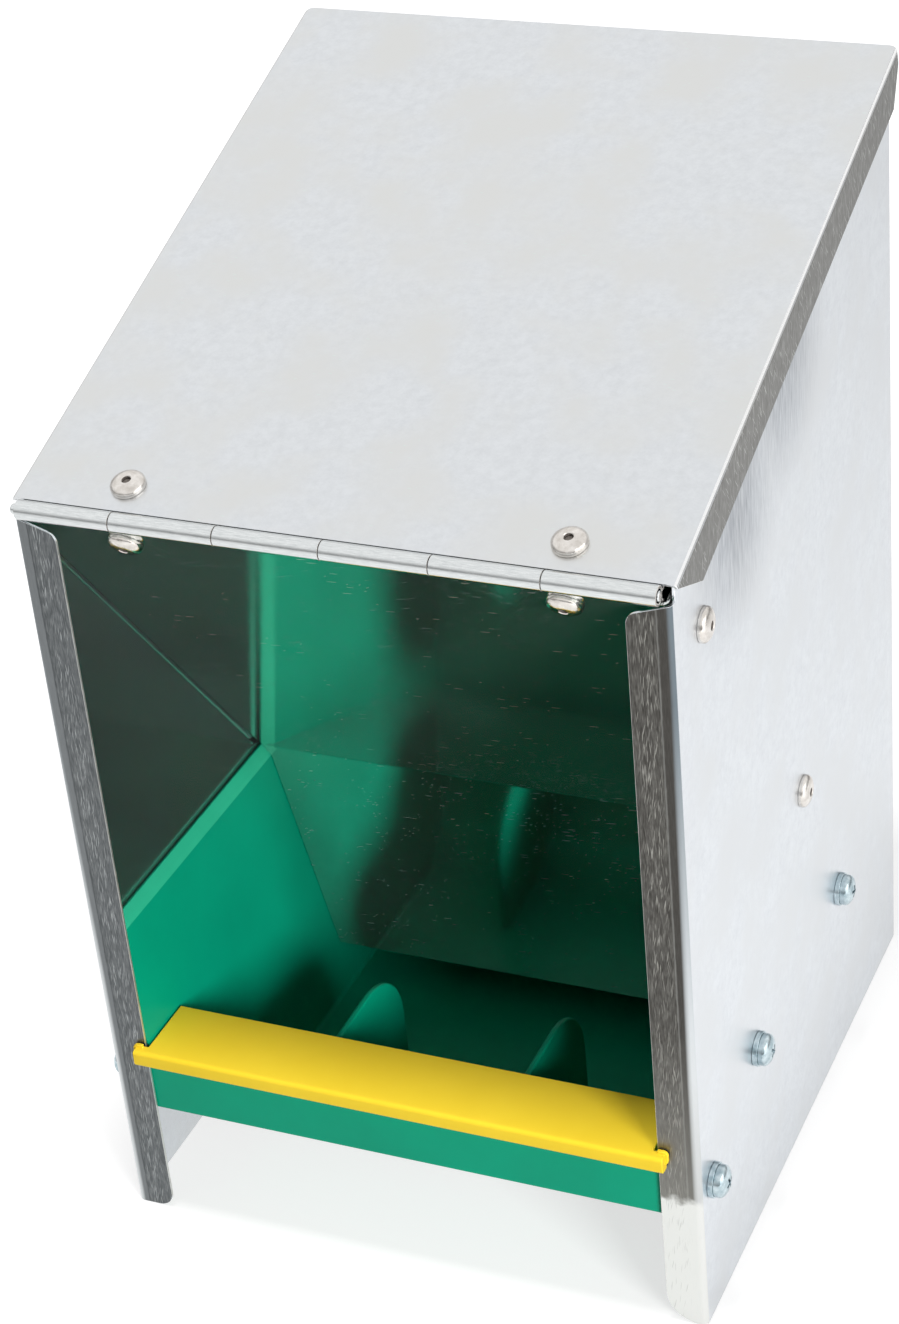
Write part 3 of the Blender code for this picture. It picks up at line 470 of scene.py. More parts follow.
barrel_notch = block(
    (-half_width - MARGIN, front - MARGIN, hinge.z - BARREL_ROOM),
    (half_width + MARGIN, hinge.y + BARREL_ROOM + FIT_GAP, body_high.z),
)
close_mesh()
carve(body, barrel_notch)
side_rivets = ["side_rivet_right_upper", "side_rivet_right_lower"]
screws = ["trough_screw_right_front", "trough_screw_right_middle", "trough_screw_right_rear"]
for node in side_rivets + screws:
    drill_across(body, node, half_width + MARGIN)
break_edges(body, EDGE_BREAK)
body_finishes = [GALVANISED_WALL, RIGHT_FLANGE, LEFT_FLANGE, WALL_OUTSIDE, SHEARED_EDGE]
fit(body, "folded_body", "body_shell", "root", "galvanised_sheet", *body_finishes)
for side, number in ((1, 1), (-1, 2)):
    near_front = lambda at: side * at.x > 0 and at.y < front + BODY_BEND
    upright = lambda facing: abs(facing.z) < TILTED
    outward = lambda facing: facing.y < SIDEWAYS and side * facing.x > -TILTED
    use_finish(body, number, lambda at, facing: near_front(at) and upright(facing) and outward(facing))
use_finish(body, 3, lambda at, facing: abs(facing.x) > ALONG and abs(at.x) > half_width - NEAR)
use_finish(body, 4, lambda at, facing: at.y < front + SHEET and abs(at.x) < flange_inner + EDGE_BREAK)


# Baffle. A second galvanised sheet, folded down at its lower end and up along both sides, and riveted
# between the walls. Feed slides down its back, and its bright front face mirrors the trough.
BAFFLE_UNDER = 0.0011
BAFFLE_FLANGE_RISE = 0.0149
BAFFLE_FLANGE_BEND = 0.0016
BAFFLE_FLANGE_END = 0.004
BAFFLE_FLANGE_SLANT = Vector((0.00674, 0.0149))
BAFFLE_BEND = 0.003
PANEL_DEPTH = 0.108
FOLD_HEIGHT = 0.09967
PANEL_FOOT = 0.0255
HINGE_RIVET_SPREAD = 0.1247
HINGE_RIVET_SETBACK = 0.0105
FOLD_NEAR = 0.0002
CHEEK_DRAFT = math.radians(12.8)
LEDGE_HALF = 0.0874
LEDGE_HEIGHT = 0.096
RIM_HALF = 0.0905

insert_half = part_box("trough")[1].x
rim_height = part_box("trough")[1].z
fold_reach = Vector((PANEL_DEPTH, FOLD_HEIGHT - hinge.z))
fold_along = math.sqrt(fold_reach.length_squared - BAFFLE_UNDER**2)
BAFFLE_SLOPE = math.atan2(fold_reach.y, fold_reach.x) + math.atan2(BAFFLE_UNDER, fold_along)


def rivet_place(side, along, above, slope):
    """A rivet's place by the hinge: so far along a slope from its axis, and so far above that slope."""
    x = side * HINGE_RIVET_SPREAD / 2
    return hinge + Matrix.Rotation(slope, 3, "X") @ Vector((x, along, above))


def drill_by_hinge(piece, side, along, slope=0.0):
    """Drills the hole of a rivet by the hinge, square to the slope that its sheet lies on."""
    above = rivet_place(side, along, MARGIN, slope)
    below = rivet_place(side, along, -MARGIN, slope)
    carve(piece, rod(above, below, RIVET_HOLE))


def lean(slope):
    """Turns the whole open mesh about the hinge's axis, so that its back rises for a positive slope."""
    bpy.ops.mesh.select_all(action="SELECT")
    bpy.ops.transform.rotate(value=-slope, orient_axis="X", center_override=hinge)


def pull(x, y, z):
    """Extrudes what is picked by so much along each axis."""
    bpy.ops.mesh.extrude_region_move(TRANSFORM_OT_translate={"value": (x, y, z)})


def cheek_half(height):
    """Half the trough's inside width at a height, below its ledge."""
    return LEDGE_HALF - (LEDGE_HEIGHT - height) * math.tan(CHEEK_DRAFT)


def add_scuffs(finish, spot, radius):
    """Pale scuffs of 4 by 0.3 mm, and specks, which crowd round a spot and thin out away from it."""
    add, shader, place = open_finish(finish)
    scuffs = strokes(add, place, (0, 0, 0), 0.0024, 0.0024, 0.10)
    for turn in ((0.10, 1.48, 0.10), (0.45, 1.20, 0.20)):
        set_of_scuffs = strokes(add, place, turn, 0.0010, 0.0120, 0.15)
        scuffs = add("Math", {0: set_of_scuffs, 1: scuffs}, operation="MAXIMUM")
    near = nearness(add, place, spot, radius, 0.25)
    clouds = add("TexNoise", {"Vector": place, "Scale": 90.0, "Detail": 2.0})
    crowded = add("MapRange", {"Value": clouds, "From Min": 0.40, "From Max": 0.54})
    share = add("Math", {0: near, 1: crowded}, operation="MULTIPLY")
    share = add("Math", {0: share, 1: scuffs}, operation="MULTIPLY")
    skin = shader.inputs["Base Color"].links[0].from_socket
    # A bluish white, because the yellow lip warms the light here
    pale = add("MixRGB", {"Fac": share, "Color1": skin, "Color2": "9CDCEA"})
    metal = shader.inputs["Metallic"].links[0].from_socket
    bared = add("Math", {0: share, 1: -0.95, 2: metal}, operation="MULTIPLY_ADD")
    fill(shader, {"Base Color": pale, "Metallic": bared})


BRIGHT_SHEET = galvanised("bright_rolled_galvanised_baffle", "E9EEED", "DDE3E2", "E3E7E4", 0.08, 0.965)
add_scuffs(BRIGHT_SHEET, (0.010, front + PANEL_DEPTH, FOLD_HEIGHT), 0.055)

sheet_z = hinge.z - BAFFLE_UNDER
baffle = block(
    (-insert_half, hinge.y + BARREL_ROOM, sheet_z),
    (insert_half, hinge.y + fold_along, hinge.z + BAFFLE_FLANGE_RISE),
)
drop_faces(lambda at, facing: facing.z > ALONG or abs(facing.y) > ALONG)
at_side = lambda at, run: abs(run.y) > ALONG and at.z < sheet_z + NEAR
round_off("EDGE", at_side, BAFFLE_FLANGE_BEND, steps=5)
on_flange = lambda at, facing: abs(at.x) > insert_half - BAFFLE_FLANGE_BEND
flange_end = Vector((0, hinge.y + fold_along - BAFFLE_FLANGE_END, 0))
trim_faces(on_flange, flange_end, Vector((0, 1, 0)))
slant_start = Vector((0, hinge.y + BARREL_ROOM, sheet_z))
slant = Vector((0, BAFFLE_FLANGE_SLANT.x - BARREL_ROOM, BAFFLE_FLANGE_SLANT.y + BAFFLE_UNDER))
slant_out = Vector((0, -slant.z, slant.y)).normalized()
trim_faces(on_flange, slant_start, slant_out)
lean(BAFFLE_SLOPE)
fold_y = front + PANEL_DEPTH
pick("EDGE", lambda at, run: abs(at.y - fold_y) < FOLD_NEAR and abs(at.z - FOLD_HEIGHT) < FOLD_NEAR)
pull(0, 0, PANEL_FOOT - FOLD_HEIGHT)
on_panel = lambda at, facing: at.z < FOLD_HEIGHT - NEAR and at.y > fold_y - FOLD_NEAR
ledge_cut = LEDGE_HEIGHT + FIT_GAP
pick("FACE", on_panel)
slice_plane((0, 0, ledge_cut), (0, 0, 1))
for side in (-1, 1):
    cheek_out = Vector((side * math.cos(CHEEK_DRAFT), 0, -math.sin(CHEEK_DRAFT)))
    cheek_edge = Vector((side * (LEDGE_HALF - FIT_GAP), 0, LEDGE_HEIGHT))
    ledge_run = Vector((side * (RIM_HALF - LEDGE_HALF), 0, rim_height - LEDGE_HEIGHT))
    ledge_out = Vector((side * ledge_run.z, 0, -side * ledge_run.x)).normalized()
    ledge_edge = Vector((side * (LEDGE_HALF - FIT_GAP), 0, ledge_cut))
    below = lambda at, facing: on_panel(at, facing) and at.z < ledge_cut
    beside = lambda at, facing: on_panel(at, facing) and at.z > ledge_cut
    for band, edge, out in ((below, cheek_edge, cheek_out), (beside, ledge_edge, ledge_out)):
        trim_faces(band, edge, out)
at_fold = lambda at: abs(at.z - FOLD_HEIGHT) < FOLD_NEAR and at.y > fold_y - FOLD_NEAR
fold_cut = BAFFLE_BEND * math.tan((math.pi / 2 + BAFFLE_SLOPE) / 2)
round_off("EDGE", lambda at, run: abs(run.x) > ALONG and at_fold(at), fold_cut, steps=5)
close_mesh()
apply_modifier(baffle, "SOLIDIFY", thickness=SHEET, offset=-1)
for side in (-1, 1):
    drill_by_hinge(baffle, side, HINGE_RIVET_SETBACK, BAFFLE_SLOPE)
for node in side_rivets:
    drill_across(baffle, node, half_width)
break_edges(baffle, EDGE_BREAK)
fit(baffle, "riveted_baffle", "hopper_baffle", "root", "galvanised_sheet", BRIGHT_SHEET)


# Side rivets. Aluminium blind rivets of 4.8 mm with a domed head. When they were set, their steel
# mandrel swelled the tail behind the two sheets and then snapped off inside the head.
RIVET_RADIUS = 0.0024
RIVET_HEAD_RADIUS = 0.0049
RIVET_HEAD_HEIGHT = 0.0023
RIVET_HEAD_RIM = 0.0004
RIVET_DOME_STEPS = 7
RIVET_TAIL_RADIUS = 0.003
RIVET_TAIL_LENGTH = 0.0034
RIVET_TAIL_TAPER = 0.0006
MANDREL_RADIUS = 0.00125
MANDREL_LIP = 0.0002
MANDREL_HOLE = 0.0010
MANDREL_STUB = 0.0002
SHADED_FROM = 0.9 * MANDREL_LIP
SEAT_CLOSE = 0.00025
RIVET_EDGE = 0.00006
SIDES = {"left": -1, "right": 1}


def finish_metal(add, shader, texture, tones, gloss, relief):
    """Wires up bare or plated metal: one texture sets its tone, its roughness and its relief."""
    tone = add("ValToRGB", {"Fac": texture}, stops=tones)
    rough = add("MapRange", {"Value": texture, "To Min": gloss[0], "To Max": gloss[1]})
    bump = add("Bump", {"Height": texture, "Strength": relief[0], "Distance": relief[1]})
    fill(shader, {"Base Color": tone, "Metallic": 1.0, "Roughness": rough, "Normal": bump})


def aluminium(name):
    """Aluminium sleeve, cold formed and bright, with faint dents from the rivet gun's nose."""
    finish, add, shader, place = new_finish(name)
    dents = add("TexNoise", {"Vector": place, "Scale": 420.0, "Detail": 3.0})
    tones = [(0.3, "CFC9C2"), (0.7, "F0ECE7")]
    finish_metal(add, shader, dents, tones, gloss=(0.10, 0.26), relief=(0.6, 0.0003))
    return finish


RIVET_ALUMINIUM = aluminium("cold_formed_aluminium_rivet")
# Torn steel of the snapped mandrel, whose dark also serves as painted shade on the walls of the hole
# above it
MANDREL_AND_HOLE_SHADE, add, shader, place = new_finish("snapped_mandrel_and_painted_hole_shade")
torn = add("TexNoise", {"Vector": place, "Scale": 1500.0, "Detail": 3.0})
torn_shade = add("MixRGB", {"Fac": torn, "Color1": "5A5450", "Color2": "99918A"})
fill(shader, {"Base Color": torn_shade, "Metallic": 0.5, "Roughness": 0.6})


def widen(x, y):
    """Scales what is picked about the origin, across but not upwards."""
    bpy.ops.transform.resize(value=(x, y, 1), center_override=(0, 0, 0))


def start_head(radius, foot, rim):
    """Starts a round head: a disc at its foot, raised to the top of its rim, with the top picked."""
    bpy.ops.object.select_all(action="DESELECT")
    bpy.ops.mesh.primitive_circle_add(
        vertices=ROUND_SIDES, radius=radius, fill_type="NGON", location=(0, 0, foot)
    )
    bpy.ops.object.transform_apply(location=True)
    open_mesh()
    bpy.ops.mesh.select_all(action="SELECT")
    pull(0, 0, rim - foot)
    return bpy.context.object


def raise_dome(span, crown, steps, sweep=1.0, share=1.0):
    """Insets and lifts the picked face in rings. A sweep or share under 1 leaves a small flat on top."""
    for i in range(steps):
        before = math.pi / 2 * i / steps
        after = math.pi / 2 * (i + 1) / steps * sweep
        step_in = span * (math.cos(before) - math.cos(after))
        step_up = crown * (math.sin(after) - math.sin(before))
        bpy.ops.mesh.inset(thickness=step_in * share, depth=step_up)


def close_solid():
    """Turns all normals outwards and closes the open mesh."""
    bpy.ops.mesh.select_all(action="SELECT")
    bpy.ops.mesh.normals_make_consistent(inside=False)
    close_mesh()


def seat_at(piece, place, turn):
    """Moves a piece that was modelled over the origin to its hole."""
    select_only(piece)
    piece.location = place
    piece.rotation_euler = turn
    bpy.ops.object.transform_apply(location=True, rotation=True, scale=True)


def set_rivet(name, node, body, grip, place, turn):
    """Models a set blind rivet over the origin, with its head upwards, and moves it to its hole."""
    rivet = start_head(RIVET_HEAD_RADIUS, -SEAT_CLOSE, RIVET_HEAD_RIM)
    span = RIVET_HEAD_RADIUS - MANDREL_RADIUS - MANDREL_LIP
    raise_dome(span, RIVET_HEAD_HEIGHT - RIVET_HEAD_RIM, RIVET_DOME_STEPS)
    bpy.ops.mesh.inset(thickness=MANDREL_LIP, depth=-MANDREL_LIP)
    pull(0, 0, -MANDREL_HOLE)
    bpy.ops.mesh.inset(thickness=MANDREL_LIP, depth=0)
    pull(0, 0, MANDREL_STUB)
    bpy.ops.mesh.inset(thickness=MANDREL_RADIUS / 2, depth=MANDREL_STUB / 2)
    pick("FACE", lambda at, facing: at.z < NEAR - SEAT_CLOSE and abs(facing.z) > ALONG)
    bpy.ops.mesh.inset(thickness=RIVET_HEAD_RADIUS - RIVET_RADIUS, depth=0)
    pull(0, 0, SEAT_CLOSE - grip)
    tail = RIVET_TAIL_RADIUS / RIVET_RADIUS
    pull(0, 0, -RIVET_TAIL_TAPER)
    widen(tail, tail)
    pull(0, 0, -(RIVET_TAIL_LENGTH - 2 * RIVET_TAIL_TAPER))
    pull(0, 0, -RIVET_TAIL_TAPER)
    widen(1 / tail, 1 / tail)
    close_solid()
    seat_at(rivet, place, turn)
    break_edges(rivet, RIVET_EDGE, angle=50)
    fit(rivet, name, node, body, "rivet_aluminium", RIVET_ALUMINIUM, MANDREL_AND_HOLE_SHADE)
    axis = Euler(turn).to_matrix() @ Vector((0, 0, 1))
    seat_of_hole = Vector(place)
    height = lambda at: (at - seat_of_hole).dot(axis)
    off_axis = lambda at: (at - seat_of_hole - axis * height(at)).length
    # The mandrel's end and the hole's walls take the dark steel: on the walls it is painted shade
    hole_top = RIVET_HEAD_HEIGHT - SHADED_FROM
    in_hole = lambda at, facing: off_axis(at) < MANDREL_RADIUS + NEAR and 0 < height(at) < hole_top
    use_finish(rivet, 1, in_hole)


side_grip = 2 * SHEET + 3 * FIT_GAP
for side_name, side in SIDES.items():
    for spot in ("upper", "lower"):
        node = f"side_rivet_{side_name}_{spot}"
        across = middle_of(node)
        seat = Vector((side * (half_width + FIT_GAP), across.y, across.z))
        turn = (0, side * math.pi / 2, 0)
        set_rivet(f"set_rivet_{side_name}_{spot}", node, "root", side_grip, seat, turn)


# Trough. One injection moulding in green polypropylene: sloping cheeks with a ledge under the rim, a low
# front wall, a ramp at the back, two upright dividers and six hollow bosses for the screws. It hangs
# between the walls of the body.
TROUGH_WALL = 0.002
TROUGH_CORNER = 0.002
INSIDE_CORNER = 0.0012
FRONT_WALL_TOP = 0.0607
FRONT_FOOT = Vector((0, 0.0011, 0.0387))
FLOOR_FRONT = Vector((0, 0.038, 0.0087))
FLOOR_BACK = Vector((0, 0.127, 0.0087))
RAMP_TOP = Vector((0, 0.1959, 0.075))
BOSS_RADIUS = 0.0055
SCREW_HOLE = 0.0027
SCREW_REACH = 0.0828
DIVIDER_SPREAD = 0.0606
DIVIDER_SHEET = 0.002
DIVIDER_DEPTH = 0.0683
DIVIDER_TOP = 0.0574
DIVIDER_RADIUS = 0.0215
LEG_ROOM = Vector((0.0056, 0.0534))
DIVIDER_EDGE = 0.0006
MOULDED_EDGE = 0.00035

trough_low, trough_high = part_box("trough")


def polypropylene(name, light, deep, rough):
    """Injection-moulded polypropylene: satin and faintly clouded, with the mould's fine orange peel."""
    finish, add, shader, place = new_finish(name)
    flow = add("TexNoise", {"Vector": place, "Scale": 28.0, "Detail": 4.0, "Roughness": 0.55})
    shade = add("ValToRGB", {"Fac": flow}, stops=[(0.30, deep), (0.70, light)])
    fill(shader, {"Base Color": shade, "Metallic": 0.0, "IOR": 1.49, "Specular IOR Level": 0.15})
    # The mould's texture is 0.4 mm across here, a little coarser than the real one
    peel = add("TexNoise", {"Vector": place, "Scale": 2500.0, "Detail": 2.0})
    gloss = add("MapRange", {"Value": flow, "To Min": rough - 0.06, "To Max": rough + 0.08})
    bump = add("Bump", {"Height": peel, "Strength": 0.10, "Distance": 0.0001})
    fill(shader, {"Roughness": gloss, "Normal": bump})
    return finish


GREEN_PLASTIC = polypropylene("moulded_green_polypropylene", "03A27E", "029876", 0.40)
# A paler green for the ledge under the rim: a painted highlight
LEDGE_HIGHLIGHT_PLASTIC = polypropylene("painted_highlight_green_ledge", "38C29A", "2CB48C", 0.45)


def slice_under(start, end, inset):
    """Cuts away what lies under the slope between two points of the tub's side view, less an inset."""
    run = end - start
    outward = Vector((0, run.z, -run.y)).normalized()
    place = Vector((0, front, 0)) + start - outward * inset
    slice_all(place, outward, clear_outer=True, use_fill=True)


def tub(inset, start_y, rounding):
    """The trough's outline as a solid, at full size or with its wall taken off, from a front face."""
    spread = (TROUGH_WALL - inset) / math.cos(CHEEK_DRAFT)
    floor = trough_low.z + inset
    piece = block(
        (-RIM_HALF - spread, start_y, floor),
        (RIM_HALF + spread, trough_high.y - inset, rim_height + MARGIN),
    )
    for height in (rim_height, LEDGE_HEIGHT):
        slice_all((0, 0, height), (0, 0, 1))
    for height in (LEDGE_HEIGHT, floor):
        pick("VERT", lambda at, facing: abs(at.z - height) < NEAR)
        share = (cheek_half(height) + spread) / (RIM_HALF + spread)
        widen(share, 1)
    for start, end in ((FRONT_FOOT, FLOOR_FRONT), (FLOOR_BACK, RAMP_TOP)):
        slice_under(start, end, inset)
    under_ledge = lambda at, run: at.z < LEDGE_HEIGHT - NEAR or abs(run.z) > TILTED
    round_off("EDGE", under_ledge, rounding, steps=5, clamp_overlap=False)
    close_mesh()
    return piece


trough = tub(0, trough_low.y, TROUGH_CORNER)
plan = block((-insert_half, trough_low.y, 0), (insert_half, trough_high.y, rim_height))
round_off("EDGE", lambda at, run: abs(run.z) > ALONG, TROUGH_CORNER, steps=5)
close_mesh()
carve(trough, plan, "INTERSECT")
front_wall = block(
    (-insert_half + TROUGH_CORNER, trough_low.y, FRONT_FOOT.z),
    (insert_half - TROUGH_CORNER, trough_low.y + TROUGH_WALL, FRONT_WALL_TOP),
)
close_mesh()
carve(trough, front_wall, "UNION")
screw_spots = [middle_of(node) for node in screws]
for side in (-1, 1):
    for spot in screw_spots:
        start = (side * (cheek_half(spot.z) - BOSS_RADIUS), spot.y, spot.z)
        end = (side * (insert_half - NEAR), spot.y, spot.z)
        carve(trough, rod(start, end, BOSS_RADIUS, sides=40), "UNION")
hollow = tub(TROUGH_WALL, trough_low.y - MARGIN, INSIDE_CORNER)
behind_wall = block(
    (-half_width, trough_low.y - 2 * MARGIN, 0),
    (half_width, trough_low.y + TROUGH_WALL, FRONT_WALL_TOP),
)
close_mesh()
carve(hollow, behind_wall)
carve(trough, hollow)
for side in (-1, 1):
    middle = side * DIVIDER_SPREAD / 2
    divider = block(
        (middle - DIVIDER_SHEET / 2, trough_low.y + TROUGH_WALL / 2, trough_low.z + TROUGH_WALL / 2),
        (middle + DIVIDER_SHEET / 2, front + DIVIDER_DEPTH, DIVIDER_TOP),
    )
    at_top = lambda at: at.z > DIVIDER_TOP - NEAR and at.y > front + LEG_ROOM.x
    round_off("EDGE", lambda at, run: abs(run.x) > ALONG and at_top(at), DIVIDER_RADIUS, steps=16)
    slice_under(FRONT_FOOT, FLOOR_FRONT, TROUGH_WALL / 2)
    close_mesh()
    leg_room = block(
        (middle - MARGIN, front - MARGIN, LEG_ROOM.y),
        (middle + MARGIN, front + LEG_ROOM.x, DIVIDER_TOP + MARGIN),
    )
    close_mesh()
    carve(divider, leg_room)
    break_edges(divider, DIVIDER_EDGE, steps=3)
    carve(trough, divider, "UNION")
    for spot in screw_spots:
        start = (side * SCREW_REACH, spot.y, spot.z)
        end = (side * (half_width + MARGIN), spot.y, spot.z)
        carve(trough, rod(start, end, SCREW_HOLE, sides=32))
break_edges(trough, MOULDED_EDGE, angle=50)
fit(trough, "moulded_trough", "trough", "root", "trough_plastic", GREEN_PLASTIC, LEDGE_HIGHLIGHT_PLASTIC)
# The ledge's sloping faces take the painted highlight
sloping_in = lambda at, facing: TILTED < facing.z < ALONG and facing.x * at.x < 0
use_finish(trough, 1, lambda at, facing: at.z > LEDGE_HEIGHT - FOLD_NEAR and sloping_in(at, facing))


# Trough screws and washers. Pan head screws of 5 mm in zinc-plated steel with a cross recess, each on a
# flat washer, driven through the walls into the trough's bosses.
SCREW_RADIUS = 0.0024
SCREW_HEAD_RADIUS = 0.0048
SCREW_HEAD_HEIGHT = 0.00358
SCREW_HEAD_RIM = 0.0013
SCREW_DOME_STEPS = 8
SCREW_DOME_SWEEP = 0.999
SCREW_DOME_SHARE = 0.99
SCREW_LENGTH = 0.01075
SCREW_TIP = 0.002
SCREW_TIP_SHARE = 0.4
SCREW_EDGE = 0.00012
FIRST_SCREW_TURN = 20
NEXT_SCREW_TURN = 25
RECESS_HALF_LENGTH = 0.0028
RECESS_HALF_WIDTH = 0.0006
RECESS_DEPTH = 0.0018
RECESS_TAPER = 0.6
WASHER_RADIUS = 0.00525
WASHER_THICKNESS = 0.001
WASHER_EDGE = 0.00022


def zinc_plated(name, pale, dark):
    """Bright zinc plating with a blue passivation, slightly hazed by handling."""
    finish, add, shader, place = new_finish(name)
    haze = add("TexNoise", {"Vector": place, "Scale": 500.0, "Detail": 3.0})
    tones = [(0.3, dark), (0.7, pale)]
    finish_metal(add, shader, haze, tones, gloss=(0.12, 0.26), relief=(0.15, 0.0002))
    return finish


PLATED_STEEL = zinc_plated("blue_passivated_zinc_plating", "D5E3E8", "9DB2BA")


def drive_screw(name, node, place, turn):
    """Models a pan head screw over the origin, with its head upwards, and moves it to its hole."""
    screw = start_head(SCREW_HEAD_RADIUS, 0, SCREW_HEAD_RIM)
    crown = SCREW_HEAD_HEIGHT - SCREW_HEAD_RIM
    raise_dome(SCREW_HEAD_RADIUS, crown, SCREW_DOME_STEPS, SCREW_DOME_SWEEP, SCREW_DOME_SHARE)
    pick("FACE", lambda at, facing: abs(at.z) < NEAR and abs(facing.z) > ALONG)
    bpy.ops.mesh.inset(thickness=SCREW_HEAD_RADIUS - SCREW_RADIUS, depth=0)
    pull(0, 0, SCREW_TIP - SCREW_LENGTH)
    pull(0, 0, -SCREW_TIP)
    widen(SCREW_TIP_SHARE, SCREW_TIP_SHARE)
    close_solid()
    low = SCREW_HEAD_HEIGHT - RECESS_DEPTH
    high = SCREW_HEAD_HEIGHT + MARGIN
    half_cross = (RECESS_HALF_LENGTH, RECESS_HALF_WIDTH)
    for half_x, half_y in (half_cross, half_cross[::-1]):
        bit = block((-half_x, -half_y, low), (half_x, half_y, high))
        pick("FACE", lambda at, facing: facing.z < -ALONG)
        widen(RECESS_TAPER, RECESS_TAPER)
        close_mesh()
        carve(screw, bit)
    break_edges(screw, SCREW_EDGE, angle=35)
    seat_at(screw, place, turn)
    fit(screw, name, node, "root", "screw_zinc", PLATED_STEEL)


def lay_washer(name, node, start, end):
    """Models a flat washer between two points on its axis."""
    washer = rod(start, end, WASHER_RADIUS, sides=56)
    reach = (Vector(end) - Vector(start)) * 2
    carve(washer, rod(Vector(start) - reach, Vector(end) + reach, SCREW_HOLE, sides=40))
    break_edges(washer, WASHER_EDGE, steps=3, angle=50)
    fit(washer, name, node, "root", "screw_zinc", PLATED_STEEL)


washer_seat = half_width + FIT_GAP
screw_seat = washer_seat + WASHER_THICKNESS + FIT_GAP
for side_name, side in SIDES.items():
    for number, spot in enumerate(("front", "middle", "rear")):
        place_name = f"{side_name}_{spot}"
        across = middle_of("trough_screw_" + place_name)
        seat = (side * screw_seat, across.y, across.z)
        driven = math.radians(FIRST_SCREW_TURN + NEXT_SCREW_TURN * number)
        turned = Matrix.Rotation(side * math.pi / 2, 3, "Y") @ Matrix.Rotation(driven, 3, "Z")
        turn = turned.to_euler()
        drive_screw("pan_head_screw_" + place_name, "trough_screw_" + place_name, seat, turn)
        inside = (side * (washer_seat - SEAT_CLOSE), across.y, across.z)
        outside = (side * (screw_seat - NEAR), across.y, across.z)
        lay_washer("flat_washer_" + place_name, "trough_washer_" + place_name, inside, outside)


# Lip. A yellow polypropylene cap that clips over the trough's front wall, so that the birds can't rake
# feed out. A plate reaches in over the trough, and a thicker bead lies in front of the body's flanges.
LIP_PLATE = 0.002
LIP_REACH = 0.0203
BEAD_HEIGHT = 0.0055
BEAD_RADIUS = 0.0013
LIP_RISE = 0.0036
LIP_LEG = 0.0016
LIP_LEG_DEPTH = 0.007
LIP_PLATE_HALF = 0.07915
BEAD_HALF = 0.0829
LUG_REACH = 0.0009
LUG_RISE = 0.0009
LUG_DROP = 0.0038
LUG_RADIUS = 0.0016
LUG_SHEET = 0.0012
LUG_START = 0.0014
LIP_EDGE = 0.0003

YELLOW_PLASTIC = polypropylene("moulded_yellow_polypropylene", "FAD738", "F4D031", 0.36)

lip_top = DIVIDER_TOP + LIP_RISE + LIP_PLATE
bead_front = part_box("trough_lip")[0].y
wall_front = trough_low.y - FIT_GAP
leg_front = trough_low.y + TROUGH_WALL + FIT_GAP
lip = block(
    (-LIP_PLATE_HALF, bead_front, lip_top - LIP_PLATE),
    (LIP_PLATE_HALF, front + LIP_REACH, lip_top),
)
for depth in (front - FIT_GAP, wall_front, leg_front, leg_front + LIP_LEG):
    slice_all((0, depth, 0), (0, 1, 0))
pick("FACE", lambda at, facing: facing.z < -ALONG and leg_front < at.y < leg_front + LIP_LEG)
pull(0, 0, -LIP_LEG_DEPTH)
widen(1 - LIP_LEG_DEPTH * math.tan(CHEEK_DRAFT) / LIP_PLATE_HALF, 1)
pick("FACE", lambda at, facing: facing.z < -ALONG and at.y < wall_front)
pull(0, 0, LIP_PLATE - BEAD_HEIGHT)
for side in (-1, 1):
    pick("FACE", lambda at, facing: side * facing.x > ALONG and at.y < front - FIT_GAP)
    pull(side * (BEAD_HALF - LIP_PLATE_HALF), 0, 0)
at_bead = lambda at, run: abs(run.x) > ALONG and at.y < bead_front + NEAR
top_or_foot = lambda at: at.z > lip_top - NEAR or at.z < lip_top - BEAD_HEIGHT + NEAR
round_off("EDGE", lambda at, run: at_bead(at, run) and top_or_foot(at), BEAD_RADIUS, steps=6)
close_mesh()
break_edges(lip, LIP_EDGE, steps=3, angle=50)
for side in (-1, 1):
    tab_x = sorted((side * (LIP_PLATE_HALF + LUG_START), side * (BEAD_HALF + LUG_REACH)))
    tab = block(
        (tab_x[0], front - FIT_GAP - LUG_SHEET, lip_top - LUG_DROP),
        (tab_x[1], front - FIT_GAP - NEAR, lip_top + LUG_RISE),
    )
    tab_end = lambda at, run: abs(run.y) > ALONG and side * at.x > BEAD_HALF
    round_off("EDGE", tab_end, LUG_RADIUS, steps=6)
    close_mesh()
    break_edges(tab, LIP_EDGE, steps=3, angle=50)
    carve(lip, tab, "UNION")
fit(lip, "feed_saving_lip", "trough_lip", "root", "lip_plastic", YELLOW_PLASTIC)


# Hinge. Two strips of 0.9 mm steel whose front edge is rolled into three knuckles each, and a plain pin
# through all six. One strip lies under the lid and the other behind the baffle, and both are galvanised.
KNUCKLE_COUNT = 6
KNUCKLE_RADIUS = 0.00275
LEAF_SHEET = 0.0009
LEAF_WIDTH = 0.017
CURL_STEPS = 40
CURL_GAP = math.radians(16)
PIN_RADIUS = 0.00145
LID_RIVET_SETBACK = 0.0122
LEAF_EDGE = 0.00015
PIN_EDGE = 0.0005

pin_low, pin_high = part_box("hinge_pin")
hinge_left = -half_width
hinge_right = pin_high.x - FIT_GAP
knuckle_pitch = (hinge_right - hinge_left) / KNUCKLE_COUNT


